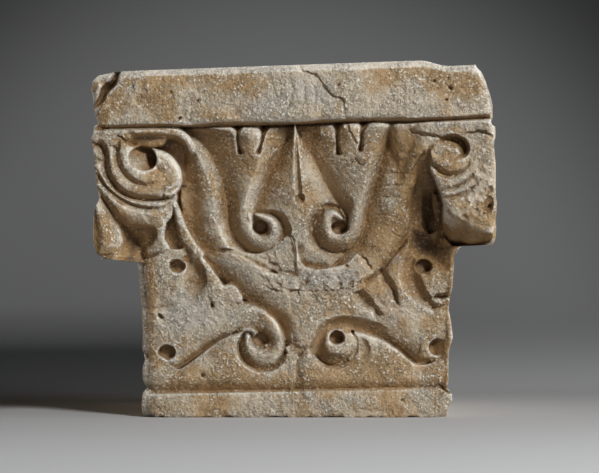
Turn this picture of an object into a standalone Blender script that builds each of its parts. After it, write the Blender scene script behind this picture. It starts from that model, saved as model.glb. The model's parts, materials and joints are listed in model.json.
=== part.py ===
"""Carved stone capital, square in plan, in one piece.

A plain slab (the abacus) rests on four corner volutes that lean out on horns over a square lower
body. Each face carries the same sunk ornament: two stems that rise from the foot and curl over into
the volutes, two trumpet-shaped buds with scrolled ends, a lance between them, and two leaves that
roll up over a pair of mounds. The front right volute has lost its face and the front left corner of
the slab is broken off.

The block starts as a subdivided cube. Every side vertex is moved to a place on one of four faces,
and each face is a height w(u, v) that a row of carving steps works down from the rough block:
u runs across the face, v runs up and w is the distance out from the middle plane. Lengths in this
script are millimetres until the mesh is scaled to metres. +X is right, -Y is the front, +Z is up,
and the origin is under the middle of the block.
"""
import bmesh
import bpy
import numpy as np

# ---- driving sizes, mm -------------------------------------------------------------------------
HEIGHT = 282.5            # middle of the top bed above the underside
TOP_SLOPE = 0.035         # rise of the top bed towards +X
BODY_HALF = 124.0         # half width of the lower body
BODY_TOP = 126.0          # where the horns leave the body
VOLUTE_HALF = 161.0       # half width over the volutes
SLAB_HALF = 158.5         # half width over the abacus
SLAB_BOTTOM = 236.0       # joint line between volutes and abacus
FOOT_BAND = 21.3          # height of the plain band at the foot
BELL_FLARE = 27.0         # how far the bell leans out below the abacus
BELL_START = 70.0         # where it starts to lean out
RELIEF = 9.0              # usual depth of the grooves between forms
DRILL_DEPTH = 12.0        # depth of the drilled eyes
SCROLL_DRILL = 7.3        # radius of the eyes in the scrolls
ARRIS = 6.5               # rounding of the upright corners
AXIS_SHIFT = 4.0          # the ornament of the front sits this far to the left of the middle

CELLS = 160               # cube subdivisions along one edge
TARGET_TRIANGLES = 9000
MM = 0.001

STONE_COLOUR = (0.47, 0.36, 0.24, 1.0)
STONE_ROUGHNESS = 0.62


# ---- plane curves and distances ----------------------------------------------------------------
def smooth(low, high, value):
    """0 below low, 1 above high, with an S-shaped rise between them."""
    t = np.clip((value - low) / (high - low), 0.0, 1.0)
    return t * t * (3.0 - 2.0 * t)


def curve(points, closed=False, steps=5):
    """Catmull-Rom curve through a few points."""
    knots = np.array(points, float)
    if closed:
        knots = np.vstack([knots[-1], knots, knots[0], knots[1]])
    else:
        knots = np.vstack([2 * knots[0] - knots[1], knots, 2 * knots[-1] - knots[-2]])
    t = np.linspace(0.0, 1.0, steps, endpoint=False)[:, None]
    runs = []
    for a, b, c, d in zip(knots, knots[1:], knots[2:], knots[3:]):
        cubic = (3 * b - a - 3 * c + d) * t ** 3
        square = (2 * a - 5 * b + 4 * c - d) * t ** 2
        runs.append(0.5 * (2 * b + (c - a) * t + square + cubic))
    return np.vstack(runs + [knots[-2][None]])


def spiral(centre, radii, turn, count):
    """Points on a spiral about centre, from the first radius and angle (degrees) to the last."""
    share = np.linspace(0.0, 1.0, count)
    angle = np.radians(turn[0] + (turn[1] - turn[0]) * share)
    radius = radii[0] + (radii[1] - radii[0]) * share
    return [(centre[0] + r * np.cos(a), centre[1] + r * np.sin(a)) for r, a in zip(radius, angle)]


def nearest(u, v, line):
    """Distance to a polyline, side (+1 left of its direction), length run and inside flag."""
    best = np.full(u.shape, 1e9)
    side = np.ones(u.shape)
    run = np.zeros(u.shape)
    inside = np.zeros(u.shape, bool)
    start = 0.0
    for (a0, a1), (b0, b1) in zip(line, line[1:]):
        d0, d1 = b0 - a0, b1 - a1
        length = max(np.hypot(d0, d1), 1e-6)
        x, y = u - a0, v - a1
        q = np.clip((x * d0 + y * d1) / length ** 2, 0.0, 1.0)
        gap = (x - q * d0) ** 2 + (y - q * d1) ** 2
        closer = gap < best
        best = np.where(closer, gap, best)
        side = np.where(closer, np.where(d0 * y >= d1 * x, 1.0, -1.0), side)
        run = np.where(closer, start + q * length, run)
        if b1 != a1:
            inside ^= ((a1 > v) != (b1 > v)) & (u < d0 * (v - a1) / d1 + a0)
        start += length
    return np.sqrt(best), side, run / start, inside


# ---- the rough block ---------------------------------------------------------------------------
def bell(u, v):
    """Front of the bell: upright below, leaning out above BELL_START."""
    rise = np.clip((v - BELL_START) / (SLAB_BOTTOM - BELL_START), 0.0, 1.0)
    return BODY_HALF + BELL_FLARE * rise ** 1.7


def horn(u, v):
    """Front of the volutes, leaning out a little towards the corner."""
    return VOLUTE_HALF - 4.0 + 0.1 * (np.abs(u) - 110.0)


def crest(u, v):
    """Bell in the middle, volute at the corners."""
    share = smooth(80.0, 112.0, np.abs(u)) * smooth(120.0, 150.0, v)
    return bell(u, v) + (horn(u, v) - bell(u, v)) * share


def sunk(u, v):
    """Deepest ground; it never comes nearer than 2 mm to the block's diagonal."""
    return np.maximum(bell(u, v) - RELIEF - 1.0, np.abs(u) + 2.0)


# ---- carving steps -----------------------------------------------------------------------------
class Face:
    """Heights w over points (u, v) of one face; each step changes w in place."""

    def __init__(self, u, v):
        self.u = u
        self.v = v
        self.w = sunk(u, v)

    def near(self, line, pad):
        """Indices of the points within pad of the line's bounding box."""
        (u0, v0), (u1, v1) = line.min(0) - pad, line.max(0) + pad
        return np.nonzero((self.u > u0) & (self.u < u1) & (self.v > v0) & (self.v < v1))[0]

    def settle(self, k, depth_in, height, edge, slope, share=1.0):
        """Put height inside the outline and cut the old surface down to its edge outside it."""
        old = self.w[k]
        if slope:
            old = np.where(depth_in < 0, np.minimum(old, edge - depth_in * slope), old)
        mask = smooth(-0.8, 0.8, depth_in)
        self.w[k] += share * (old * (1 - mask) + height * mask - self.w[k])

    def cell(self, outline, ground, edge, top, shoulder, slope=0.8, lean=None):
        """Closed form that rises from edge to top over a rounded shoulder."""
        line = curve(outline, closed=True)
        k = self.near(line, (4.0 - edge) / slope if slope else 3.0)
        u, v = self.u[k], self.v[k]
        dist, _, _, inside = nearest(u, v, line)
        depth_in = np.where(inside, dist, -dist)
        base = ground(u, v)
        rise = 1.0 - (1.0 - np.clip(depth_in / shoulder, 0.0, 1.0)) ** 2
        height = base + edge + (top - edge) * rise
        if lean is not None:
            height = height + lean(v) * np.clip(depth_in / 3.0, 0.0, 1.0)
        self.settle(k, depth_in, height, base + edge, slope)

    def band(self, path, half, ground, edges, top, ridge, slope=0.0, fade=0.0):
        """Band along a path with its ridge at -1..1 of the half width; edges are (right, left)."""
        line = curve(path)
        k = self.near(line, max(half) + 14.0)
        u, v = self.u[k], self.v[k]
        dist, side, run, _ = nearest(u, v, line)

        def along(values):
            return np.interp(run, np.linspace(0.0, 1.0, len(values)), values)

        width = along(half)
        offset = np.clip(dist * side / width, -1.0, 1.0)
        rim = along(ridge)
        fall = np.where(offset > rim, (offset - rim) / (1 - rim), (rim - offset) / (1 + rim))
        edge = np.where(offset > rim, edges[1], edges[0])
        base = ground(u, v)
        height = base + edge + (top - edge) * (1.0 - np.clip(fall, 0.0, 1.0) ** 1.7)
        share = smooth(0.0, fade, run) if fade else 1.0
        self.settle(k, width - dist, height, base + edge, slope, share)

    def loft(self, left, right, ridge, bottom, edge, top, slope=0.9):
        """Form between two edges and a ridge, each given from top to bottom as (u, v)."""
        lines = [curve(points)[::-1] for points in (left, right, ridge)]
        k = np.nonzero(self.v > bottom)[0]
        u, v = self.u[k], self.v[k]
        a, b, c = (np.interp(v, line[:, 1], line[:, 0]) for line in lines)
        fall = np.where(u < c, (c - u) / np.maximum(c - a, 1.0), (u - c) / np.maximum(b - c, 1.0))
        base = bell(u, v)
        height = base + edge + (top - edge) * (1.0 - np.clip(fall, 0.0, 1.0) ** 1.5)
        depth_in = np.minimum(u - a, b - u) * 0.9
        self.settle(k, depth_in, height, base + edge, slope, smooth(bottom, bottom + 12.0, v))

    def groove(self, path, half, depth):
        """Round-bottomed groove along a path, shallower at its ends."""
        line = curve(path)
        k = self.near(line, half + 1.0)
        dist, _, run, _ = nearest(self.u[k], self.v[k], line)
        taper = np.minimum(1.0, 4.0 * np.minimum(run + 0.1, 1.1 - run))
        self.w[k] -= depth * taper * smooth(half, 0.0, dist)

    def drill(self, u, v, radius, depth, ground):
        """Round hole with steep walls."""
        k = np.nonzero((np.abs(self.u - u) < radius + 3) & (np.abs(self.v - v) < radius + 3))[0]
        depth_in = radius - np.hypot(self.u[k] - u, self.v[k] - v)
        mask = smooth(-0.4, 1.6, depth_in)
        floor = ground(self.u[k], self.v[k]) - depth
        self.w[k] = np.minimum(self.w[k], self.w[k] * (1 - mask) + floor * mask)


# ---- the ornament, drawn for the left half of a face and mirrored for the right ----------------
STEM = [(-168, 229), (-126, 230), (-95, 229), (-81, 215), (-77, 199), (-75, 180), (-71, 162),
        (-60, 139), (-32, 109), (-9, 88), (1, 63)]
STEM_HALF = [4.5, 4.6, 5.2, 9.0, 14.5, 18.0, 18.5, 17.5, 17.0, 14.5, 9.0]
STEM_RIDGE = [0.1, 0.2, 0.2, 0.3, 0.25, 0.15, 0.2, 0.35, 0.45, 0.3, 0.1]

BUD_OUTER = [(-90, 240), (-75, 222), (-64, 203), (-57, 182), (-54, 162), (-50, 144)]
BUD_INNER = [(1, 240), (-12, 213), (-24, 190), (-31, 170), (-32, 144)]
BUD_RIDGE = [(-80, 240), (-56, 230), (-46, 214), (-42, 194), (-40, 168), (-36, 144)]
BUD_SLITS = [[(-47, 240), (-45, 217)], [(-25, 240), (-28, 217)]]

SCROLL_CENTRE = (-27.0, 153.5)
SCROLL = [(-46, 176)] + spiral(SCROLL_CENTRE, (16.5, 9.5), (165, 460), 8)
SCROLL_HALF = [8.0, 9.2, 9.0, 7.6, 6.2, 5.2, 4.4, 2.8, 1.2]
SCROLL_RIDGE = [0.5] * 5 + [0.1] * 4

LANCE_EDGE = [(0, 240), (-5, 226), (-14, 206), (-26, 182), (-32, 160)]
LANCE_GROOVE = [(0, 218), (1, 183)]

LEAF = [(-98, 178), (-90, 160), (-83, 144), (-68, 122), (-57, 108), (-47, 106), (-42, 94), (-30, 90),
        (-16, 78), (-8, 60), (-12, 46), (-28, 39), (-42, 48), (-41, 68), (-56, 66), (-72, 54), (-90, 42),
        (-104, 40), (-114, 50), (-130, 56), (-130, 118), (-116, 132), (-98, 137), (-96, 150), (-99, 170)]
LEAF_CHANNEL = [(-91, 133), (-84, 119), (-82, 106), (-81, 96)]
LOBE = [(-130, 128), (-110, 131), (-94, 120), (-86, 114), (-88, 100), (-104, 90), (-130, 88)]
LEAF_EYES = [(-95.0, 123.3, 6.7), (-105.0, 52.5, 7.0)]
LEAF_HOLLOW = [(-38, 72.5), (-55, 69.5), (-72, 58), (-90, 44.5), (-103, 43)]

RING_CENTRE = (-27.0, 63.8)
RING = [(-58, 84), (-38, 84)] + spiral(RING_CENTRE, (15.5, 10.0), (80, -215), 7)
RING_HALF = [8.5, 8.5, 7.6, 6.4, 7.5, 8.8, 7.4, 4.4, 2.0]
RING_RIDGE = [0.2] * 9

MOUND = [(-134, 50), (-114, 48), (-100, 39.5), (-84, 46), (-68, 57), (-54, 66), (-41, 69), (-46, 56), (-38, 42),
         (-24, 39.5), (-10, 48), (0, 52), (0, 30), (-10, 22.5), (-60, 21.5), (-134, 21.5)]

SUNK_RING = [(-135, 221), (-110, 226), (-90, 220), (-84, 208), (-88, 188), (-98, 176), (-96, 150),
             (-100, 138), (-112, 141), (-118, 180)]
LAPPET = [(-156, 190), (-142, 168), (-128, 155.5), (-114, 153), (-102, 161), (-95, 179), (-120, 190)]
SHELLS = [   # outline, edge and top below the volute's front: each lies on the one before
    ([(-166, 210), (-154, 190), (-136, 175), (-114, 169.5), (-96, 178), (-110, 195), (-140, 205)], -7.0, -2.6),
    ([(-168, 236), (-162, 221), (-151, 208), (-145, 190), (-124, 177), (-98, 178), (-91, 196), (-98, 211),
      (-112, 218), (-129, 220.5), (-140, 234)], -7.0, -1.0),
    ([(-140, 226), (-143, 208), (-134, 192), (-117, 188), (-97, 189), (-94, 203), (-108, 216), (-129, 220)],
     -4.6, 0.2),
]
VOLUTE_EYE = (-121.5, 210.0, 11.0)
PENDANT = [(-176, 186), (-156, 181), (-145, 163), (-139, 146), (-141, 136), (-152, 128), (-176, 127)]

LOST_FACE = [(86, 238), (176, 242), (176, 147), (152, 149), (128, 160), (118, 172), (113, 190), (107, 205),
             (106, 214), (94, 226)]
LOST_RECESS = [(92, 207), (106, 212), (117, 184), (127, 162), (136, 154), (120, 143), (100, 139), (93, 160)]
LOST_UNDERSIDE = [(118, 157), (140, 150), (176, 147), (176, 134), (128, 136), (114, 146)]
KNUCKLE = [(10, 121), (37, 124), (50, 133), (62, 122), (66, 115), (50, 107), (14, 104)]


def flip(points, side):
    """Points for the left half (side -1) or mirrored for the right half (side +1)."""
    return [(-side * u, v) for u, v in points]


def carve_stem(face, side):
    turn = [-side * r for r in STEM_RIDGE]
    edges = (-15.0, -RELIEF) if side < 0 else (-RELIEF, -15.0)
    face.band(flip(STEM, side), STEM_HALF, crest, edges, -0.5, turn)


def carve_bud(face, side):
    outer, inner = flip(BUD_OUTER, side), flip(BUD_INNER, side)
    left, right = (outer, inner) if side < 0 else (inner, outer)
    face.loft(left, right, flip(BUD_RIDGE, side), 148.0, -RELIEF, 0.0)
    for slit in BUD_SLITS:
        face.groove(flip(slit, side), 3.0, 6.0)


def carve_lance(face):
    face.loft(LANCE_EDGE, flip(LANCE_EDGE, 1), [(0, 240), (0, 160)], 161.0, -RELIEF, -1.0)
    face.groove(LANCE_GROOVE, 2.2, 4.0)


def carve_scroll(face, side, path, half, ridge, centre):
    turn = [-side * r for r in ridge]
    face.band(flip(path, side), half, bell, (-RELIEF, -RELIEF), -0.6, turn, slope=0.85, fade=0.17)
    face.drill(-side * centre[0], centre[1], SCROLL_DRILL, DRILL_DEPTH + 2.0, bell)


def carve_leaf(face, side):
    face.cell(flip(LEAF, side), bell, -8.5, -0.4, 10.0)
    face.groove(flip(LEAF_CHANNEL, side), 6.0, 7.0)
    face.cell(flip(LOBE, side), bell, -6.0, 0.3, 10.0, slope=1.3)
    face.groove(flip(LEAF_HOLLOW, side), 8.5, 7.5)
    for u, v, radius in LEAF_EYES:
        face.drill(-side * u, v, radius, DRILL_DEPTH, bell)


def carve_mound(face, side):
    def underside(v):
        return -6.0 * np.clip((36.0 - v) / 15.0, 0.0, 1.0) ** 1.6

    face.cell(flip(MOUND, side), bell, -8.0, 0.0, 8.0, slope=0.75, lean=underside)


def carve_volute(face, side):
    face.cell(flip(SUNK_RING, side), crest, -6.0, -17.0, 5.0, slope=0.0)
    face.cell(flip(LAPPET, side), horn, -14.0, -3.2, 9.0, slope=0.0)
    for outline, edge, top in SHELLS:
        face.cell(flip(outline, side), horn, edge, top, 4.5, slope=1.4)
    u, v, radius = VOLUTE_EYE
    face.drill(-side * u, v, radius, DRILL_DEPTH + 2.0, horn)
    face.cell(flip(PENDANT, side), horn, -13.0, 0.5, 13.0, slope=0.0)


def carve_lost_volute(face):
    """Front right corner: the face of the volute is worn away and its underside broken."""
    def underside(u, v):
        return np.maximum(horn(u, v) - 17.0 + 7.0 * smooth(138.0, 150.0, v), np.abs(u) + 2.0)

    face.cell(LOST_RECESS, crest, -6.0, -20.0, 7.0, slope=0.0)
    face.cell(LOST_FACE, horn, -18.0, -0.8, 5.0, slope=0.0)
    face.cell(LOST_UNDERSIDE, underside, 0.0, 0.0, 3.0, slope=0.0)
    face.drill(123.0, 216.0, 12.0, DRILL_DEPTH, horn)


def carve_slab_and_foot(face):
    """Abacus above its joint line, plain band at the foot, and the line cut along each."""
    above = face.v - SLAB_BOTTOM - 0.022 * face.u
    middle = smooth(88.0, 80.0, np.abs(face.u))
    slab = SLAB_HALF - 5.5 * middle * smooth(6.5, 0.0, above)
    slab = slab - 3.0 * np.clip((face.v - bed_height(face.u) + 5.0) / 5.0, 0.0, 1.0) ** 2
    mask = smooth(-0.6, 0.9, above)
    face.w = face.w * (1 - mask) + slab * mask - 5.0 * np.exp(-(above / 1.5) ** 2)
    foot = BODY_HALF + 0.6 - 1.2 * (face.v / (0.5 * FOOT_BAND) - 1.0) ** 2
    mask = smooth(0.8, -0.5, face.v - FOOT_BAND)
    face.w = face.w * (1 - mask) + foot * mask - 3.0 * np.exp(-((face.v - FOOT_BAND) / 1.6) ** 2)


def carve_face(u, v, front):
    """Height of one finished face, deepest forms first."""
    face = Face(u, v)
    for side in (-1, 1):
        carve_stem(face, side)
    for side in (-1, 1):
        carve_bud(face, side)
    carve_lance(face)
    for side in (-1, 1):
        carve_scroll(face, side, SCROLL, SCROLL_HALF, SCROLL_RIDGE, SCROLL_CENTRE)
        carve_leaf(face, side)
        carve_mound(face, side)
        carve_scroll(face, side, RING, RING_HALF, RING_RIDGE, RING_CENTRE)
    carve_volute(face, -1)
    if front:
        face.cell(KNUCKLE, bell, -3.5, 0.6, 3.0, slope=1.5)
        face.groove([(4, 128), (8, 112), (13, 102)], 5.0, 8.0)
        carve_lost_volute(face)
    else:
        carve_volute(face, 1)
    carve_slab_and_foot(face)
    return face.w


# ---- corners and the closed block --------------------------------------------------------------
def bed_height(x):
    """Top bed: a plane that rises a little towards +X."""
    return HEIGHT + TOP_SLOPE * x


def upright(reach, horn_bottom, slab_cut):
    """Corner seen from the front, foot to top: (half width, height) and share of the way up."""
    return [(BODY_HALF - 6, 0), (BODY_HALF - 1, 8), (BODY_HALF - 1, 18), (BODY_HALF - 4, 23),
            (BODY_HALF - 2, 32), (BODY_HALF - 1, 70), (BODY_HALF, 100), (BODY_HALF, horn_bottom - 4),
            (BODY_HALF + 10, horn_bottom - 1), (reach - 8, horn_bottom + 1), (reach - 1, horn_bottom + 9),
            (reach, 165), (reach - 3, 181), (reach, 200), (reach + 1, 222), (reach - 2, 233),
            (SLAB_HALF - 1, 238), (SLAB_HALF - 1 - 0.4 * slab_cut, 258), (SLAB_HALF - 3 - slab_cut, 280)]


CORNERS = {   # signs of x and y: front left, front right, back right, back left
    (-1, -1): upright(VOLUTE_HALF, 129.0, 20.0),
    (1, -1): upright(VOLUTE_HALF - 0.5, 140.0, 8.0),
    (1, 1): upright(VOLUTE_HALF, 131.0, 2.0),
    (-1, 1): upright(VOLUTE_HALF, 130.0, 2.0),
}
SIDES = [   # corners at the left and right end of each face, as seen from outside
    ((-1, -1), (1, -1)),
    ((1, -1), (1, 1)),
    ((1, 1), (-1, 1)),
    ((-1, 1), (-1, -1)),
]


def corner_at(corner, t):
    """Half width and height of a corner edge at share t of its run, ending on the top bed."""
    points = np.array(CORNERS[corner], float)
    stations = np.linspace(0.0, 1.0, len(points))
    half = np.interp(t, stations, points[:, 0])
    height = np.interp(t, stations, points[:, 1])
    lift = bed_height(corner[0] * points[-1, 0]) - points[-1, 1]
    return half, height + lift * smooth(0.85, 1.0, t)


def side_points(index, s, t):
    """World points of one face at s = -1..1 across and t = 0..1 up."""
    left, right = SIDES[index]
    half_left, v_left = corner_at(left, t)
    half_right, v_right = corner_at(right, t)
    share = 0.5 * (s + 1.0)
    u = (share - 1.0) * half_left + share * half_right
    v = (1.0 - share) * v_left + share * v_right
    shift = AXIS_SHIFT if index == 0 else 0.0
    inward = shift * np.clip(1.6 - np.abs(u) / 90.0, 0.0, 1.0)
    w = carve_face(u + inward, v, index == 0)
    for half, toward in ((half_left, -u), (half_right, u)):
        x = np.clip((half - toward) / ARRIS, 0.0, 1.0)
        round_off = np.sqrt(1.0 - (1.0 - x) ** 2)
        w = np.where(x < 1.0, half + (w - half) * round_off, w)
    quarter = [(u, -w), (w, u), (-u, w), (-w, -u)][index]
    return quarter[0], quarter[1], v


def shape_block(x, y, z):
    """Cube coordinates -1..1 to points of the capital."""
    points = np.zeros((len(x), 3))
    ring = np.maximum(np.abs(x), np.abs(y))
    safe = np.maximum(ring, 1e-6)
    a, b = x / safe, y / safe
    t = 0.5 * (z + 1.0)
    on_face = [b <= -1 + 1e-6, a >= 1 - 1e-6, b >= 1 - 1e-6, a <= -1 + 1e-6]
    across = [a, b, -a, -b]
    done = np.zeros(len(x), bool)
    for index in range(4):
        k = np.nonzero(on_face[index] & ~done)[0]
        done[k] = True
        px, py, pz = side_points(index, across[index][k], t[k])
        points[k] = np.stack([px * ring[k], py * ring[k], pz], 1)
    caps = ring < 1.0 - 1e-6
    level = np.where(z > 0, bed_height(points[:, 0]), 0.0)
    points[:, 2] = np.where(caps | (np.abs(z) > 1 - 1e-6), level, points[:, 2])
    return points * MM


def build_capital():
    mesh = bpy.data.meshes.new("carved_capital")
    bm = bmesh.new()
    bmesh.ops.create_cube(bm, size=2.0)
    bmesh.ops.subdivide_edges(bm, edges=bm.edges[:], cuts=CELLS - 1, use_grid_fill=True)
    bm.to_mesh(mesh)
    bm.free()
    cube = np.zeros(len(mesh.vertices) * 3)
    mesh.vertices.foreach_get("co", cube)
    cube = np.round(cube.reshape(-1, 3), 6)
    mesh.vertices.foreach_set("co", shape_block(*cube.T).ravel())
    mesh.update()
    capital = bpy.data.objects.new("carved_capital", mesh)
    thin = capital.modifiers.new("Thin out", "DECIMATE")
    thin.ratio = TARGET_TRIANGLES / (12.0 * CELLS ** 2)
    return capital


def stone():
    material = bpy.data.materials.new("stone")
    material.use_nodes = True
    shader = material.node_tree.nodes["Principled BSDF"]
    shader.inputs["Base Color"].default_value = STONE_COLOUR
    shader.inputs["Roughness"].default_value = STONE_ROUGHNESS
    shader.inputs["Metallic"].default_value = 0.0
    return material


def main():
    for old in list(bpy.data.objects):
        bpy.data.objects.remove(old)
    collection = bpy.data.collections.new("Carved capital")
    bpy.context.scene.collection.children.link(collection)
    capital = build_capital()
    capital.data.materials.append(stone())
    collection.objects.link(capital)


main()
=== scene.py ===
"""Carved stone capital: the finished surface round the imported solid, and a plain studio for it.

The capital is one block with four carved faces. Each face is a height w(u, v) in millimetres, worked
out on a grid: u runs across the face, v runs up it and w is the distance out from the middle plane.
The carving steps change w from the deepest ground to the topmost form. A form's height is a formula
in the distance to its outline or to the path that it follows, so each step is a few array operations
on the points near the form. The four faces meet along four upright corner profiles, and a lower and
an upper bed close the block.
"""

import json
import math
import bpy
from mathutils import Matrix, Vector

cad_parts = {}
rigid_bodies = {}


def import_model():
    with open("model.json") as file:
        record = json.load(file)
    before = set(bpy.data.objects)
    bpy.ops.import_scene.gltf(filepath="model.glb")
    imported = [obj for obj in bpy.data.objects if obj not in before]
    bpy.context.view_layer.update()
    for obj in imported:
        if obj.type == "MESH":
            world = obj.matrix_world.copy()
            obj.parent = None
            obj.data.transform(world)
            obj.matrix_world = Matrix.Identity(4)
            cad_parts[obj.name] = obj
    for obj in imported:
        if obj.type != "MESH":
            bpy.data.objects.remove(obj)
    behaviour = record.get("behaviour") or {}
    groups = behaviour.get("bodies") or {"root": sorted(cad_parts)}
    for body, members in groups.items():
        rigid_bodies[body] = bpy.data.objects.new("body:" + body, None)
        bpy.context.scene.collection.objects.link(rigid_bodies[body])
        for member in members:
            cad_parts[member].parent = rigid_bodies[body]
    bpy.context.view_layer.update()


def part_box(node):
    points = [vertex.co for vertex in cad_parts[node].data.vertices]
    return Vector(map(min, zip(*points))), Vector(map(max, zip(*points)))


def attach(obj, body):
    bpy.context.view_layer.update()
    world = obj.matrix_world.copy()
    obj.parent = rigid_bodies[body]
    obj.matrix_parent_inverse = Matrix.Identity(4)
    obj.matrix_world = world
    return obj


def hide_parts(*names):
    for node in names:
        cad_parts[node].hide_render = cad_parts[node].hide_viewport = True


bl_info = {
    "name": "Carved Stone Capital",
    "version": (1, 0, 0),
    "blender": (4, 5, 0),
    "location": "View3D > Sidebar > Capital",
    "description": "A square stone capital with sunk ornament, its weathered stone and a plain studio",
    "category": "Add Mesh",
}

import bpy
import numpy as np
from bpy.props import FloatProperty, FloatVectorProperty, IntProperty, PointerProperty
from mathutils import Vector

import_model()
NODE = "carved_capital"
LOW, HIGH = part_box(NODE)
DESIGN_HEIGHT = 287.9                    # height of the drawing in its own millimetres
MM = (HIGH.z - LOW.z) / DESIGN_HEIGHT    # metres for one of them, so the looks keep the frame's size

# ---- driving sizes of the drawing, mm ----------------------------------------------------------
MIDDLE = -4.0             # the block's axis on the u scale, whose zero is the joint of the mounds
BODY_HALF = 124.0         # half width of the lower body
VOLUTE_HALF = 157.0       # half width over the volutes
SLAB_HALF = 158.5         # half width over the abacus
SLAB_BOTTOM = 237.2       # joint between volutes and abacus
BED_LEVEL = 284.3         # upper bed above the middle of the block
BED_SLOPE = 0.036         # rise of the upper bed towards +X
FOOT_BAND = 21.3          # height of the plain band at the foot
RELIEF = 9.0              # usual depth of the grooves between forms
DEEPER = 1.4              # stretch of the ornament's depths once it is drawn
ARRIS = 6.5               # rounding of the upright corners
CORNER_STONE = 1.5        # least stone between a side face's hollows and the corner's diagonal
BEST_CORNER_STONE = 9.0   # the same beside the best face, whose own hollows reach past the diagonal


# ---- plane curves, distances and noise ---------------------------------------------------------
def smooth(low, high, value):
    """0 below low, 1 above high, with the S-shaped rise 3t^2 - 2t^3 between them."""
    t = np.clip((value - low) / (high - low), 0.0, 1.0)
    return t * t * (3.0 - 2.0 * t)


def hermite(a, b, c, d, t):
    """Catmull-Rom cubic from b to c, whose slope at each is half the step between its neighbours."""
    square = (2 * a - 5 * b + 4 * c - d) * t ** 2
    cubic = (3 * b - a - 3 * c + d) * t ** 3
    return 0.5 * (2 * b + (c - a) * t + square + cubic)


CURVE_STEPS = 8


def curve(points, closed=False):
    """Smooth curve through a few points, with CURVE_STEPS places for each of its spans."""
    knots = np.array(points, float)
    if closed:
        knots = np.vstack([knots[-1], knots, knots[0], knots[1]])
    else:
        knots = np.vstack([2 * knots[0] - knots[1], knots, 2 * knots[-1] - knots[-2]])
    t = np.linspace(0.0, 1.0, CURVE_STEPS, endpoint=False)[None, :, None]
    spans = hermite(knots[:-3, None], knots[1:-2, None], knots[2:-1, None], knots[3:, None], t)
    return np.vstack([spans.reshape(-1, 2), knots[-2]])


def jagged(points, amount, seed):
    """The same path with more points, each but the first and last moved by up to amount."""
    line = curve(points)[::CURVE_STEPS // 4]
    line[1:-1] += np.random.RandomState(seed).uniform(-amount, amount, line[1:-1].shape)
    return line


def lengths(line):
    """Length run along a polyline at each of its places."""
    return np.concatenate([[0.0], np.cumsum(np.hypot(*np.diff(line, axis=0).T))])


def nearest(u, v, line):
    """For each point: distance to the polyline, side (+1 to its left), length run, and whether it
    lies inside by the even-odd rule. One pass over the whole arrays for each straight span."""
    best = np.full(u.shape, 1e9)
    side = np.ones(u.shape)
    run = np.zeros(u.shape)
    inside = np.zeros(u.shape, bool)
    for (a0, a1), (b0, b1), start in zip(line, line[1:], lengths(line)):
        d0, d1 = b0 - a0, b1 - a1
        length = max(math.hypot(d0, d1), 1e-6)
        x, y = u - a0, v - a1
        q = np.clip((x * d0 + y * d1) / length ** 2, 0.0, 1.0)
        gap = (x - q * d0) ** 2 + (y - q * d1) ** 2
        closer = gap < best
        best[closer] = gap[closer]
        side[closer] = np.where(d0 * y >= d1 * x, 1.0, -1.0)[closer]
        run[closer] = (start + q * length)[closer]
        if b1 != a1:
            inside ^= ((a1 > v) != (b1 > v)) & (u < d0 * (v - a1) / d1 + a0)
    return np.sqrt(best), side, run, inside


def noise(x, y, seed):
    """Value noise between -0.5 and 0.5: random heights on whole places, eased between them."""
    table = np.random.RandomState(seed).rand(64, 64)
    i, j = np.floor(x).astype(int), np.floor(y).astype(int)
    a, b = smooth(0.0, 1.0, x - i), smooth(0.0, 1.0, y - j)
    low = table[i % 64, j % 64] * (1 - a) + table[(i + 1) % 64, j % 64] * a
    high = table[i % 64, (j + 1) % 64] * (1 - a) + table[(i + 1) % 64, (j + 1) % 64] * a
    return low * (1 - b) + high * b - 0.5


def rough(x, y, size, seed, octaves=3):
    """Sum of noises, each half as large and half as strong as the one before."""
    total = 0.0
    for level in range(octaves):
        shrink = 0.5 ** level
        total = total + shrink * noise(x / (size * shrink) + 17.3 * level, y / (size * shrink),
                                       seed + level)
    return total


# ---- the rough block ---------------------------------------------------------------------------
def bell(u, v):
    """Front of the bell: 124 mm below v = 70, then out by 27 mm times the climb to the power 1.7."""
    return BODY_HALF + 27.0 * np.clip((v - 70.0) / 165.0, 0.0, 1.0) ** 1.7


def horn(u, v):
    """Front of the volutes: a plane that comes out by a tenth of the way to the corner."""
    return VOLUTE_HALF + 0.10 * (np.abs(u - MIDDLE) - 110.0)


def crest(u, v):
    """Bell in the middle, horn at the corners, eased between 80 and 112 mm from the axis."""
    share = smooth(80.0, 112.0, np.abs(u - MIDDLE)) * smooth(120.0, 150.0, v)
    return bell(u, v) + (horn(u, v) - bell(u, v)) * share


def diagonal(u):
    """Least height that keeps a hollow 2 mm clear of the block's diagonal."""
    return np.abs(u - MIDDLE) + 2.0


def sunk(u, v):
    """Deepest ground: RELIEF below the bell, or the diagonal where that stands further out."""
    return np.maximum(bell(u, v) - RELIEF, diagonal(u))


def bed(x, y):
    """Upper bed: a plane that rises towards +X, lower where its front corners are broken."""
    broken = 5.2 * smooth(100.0, 124.0, x) * smooth(60.0, -60.0, y)
    stump = 2.6 * smooth(-144.0, -150.0, x) * smooth(-110.0, -130.0, y)
    return BED_LEVEL + BED_SLOPE * x - broken - stump


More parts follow.
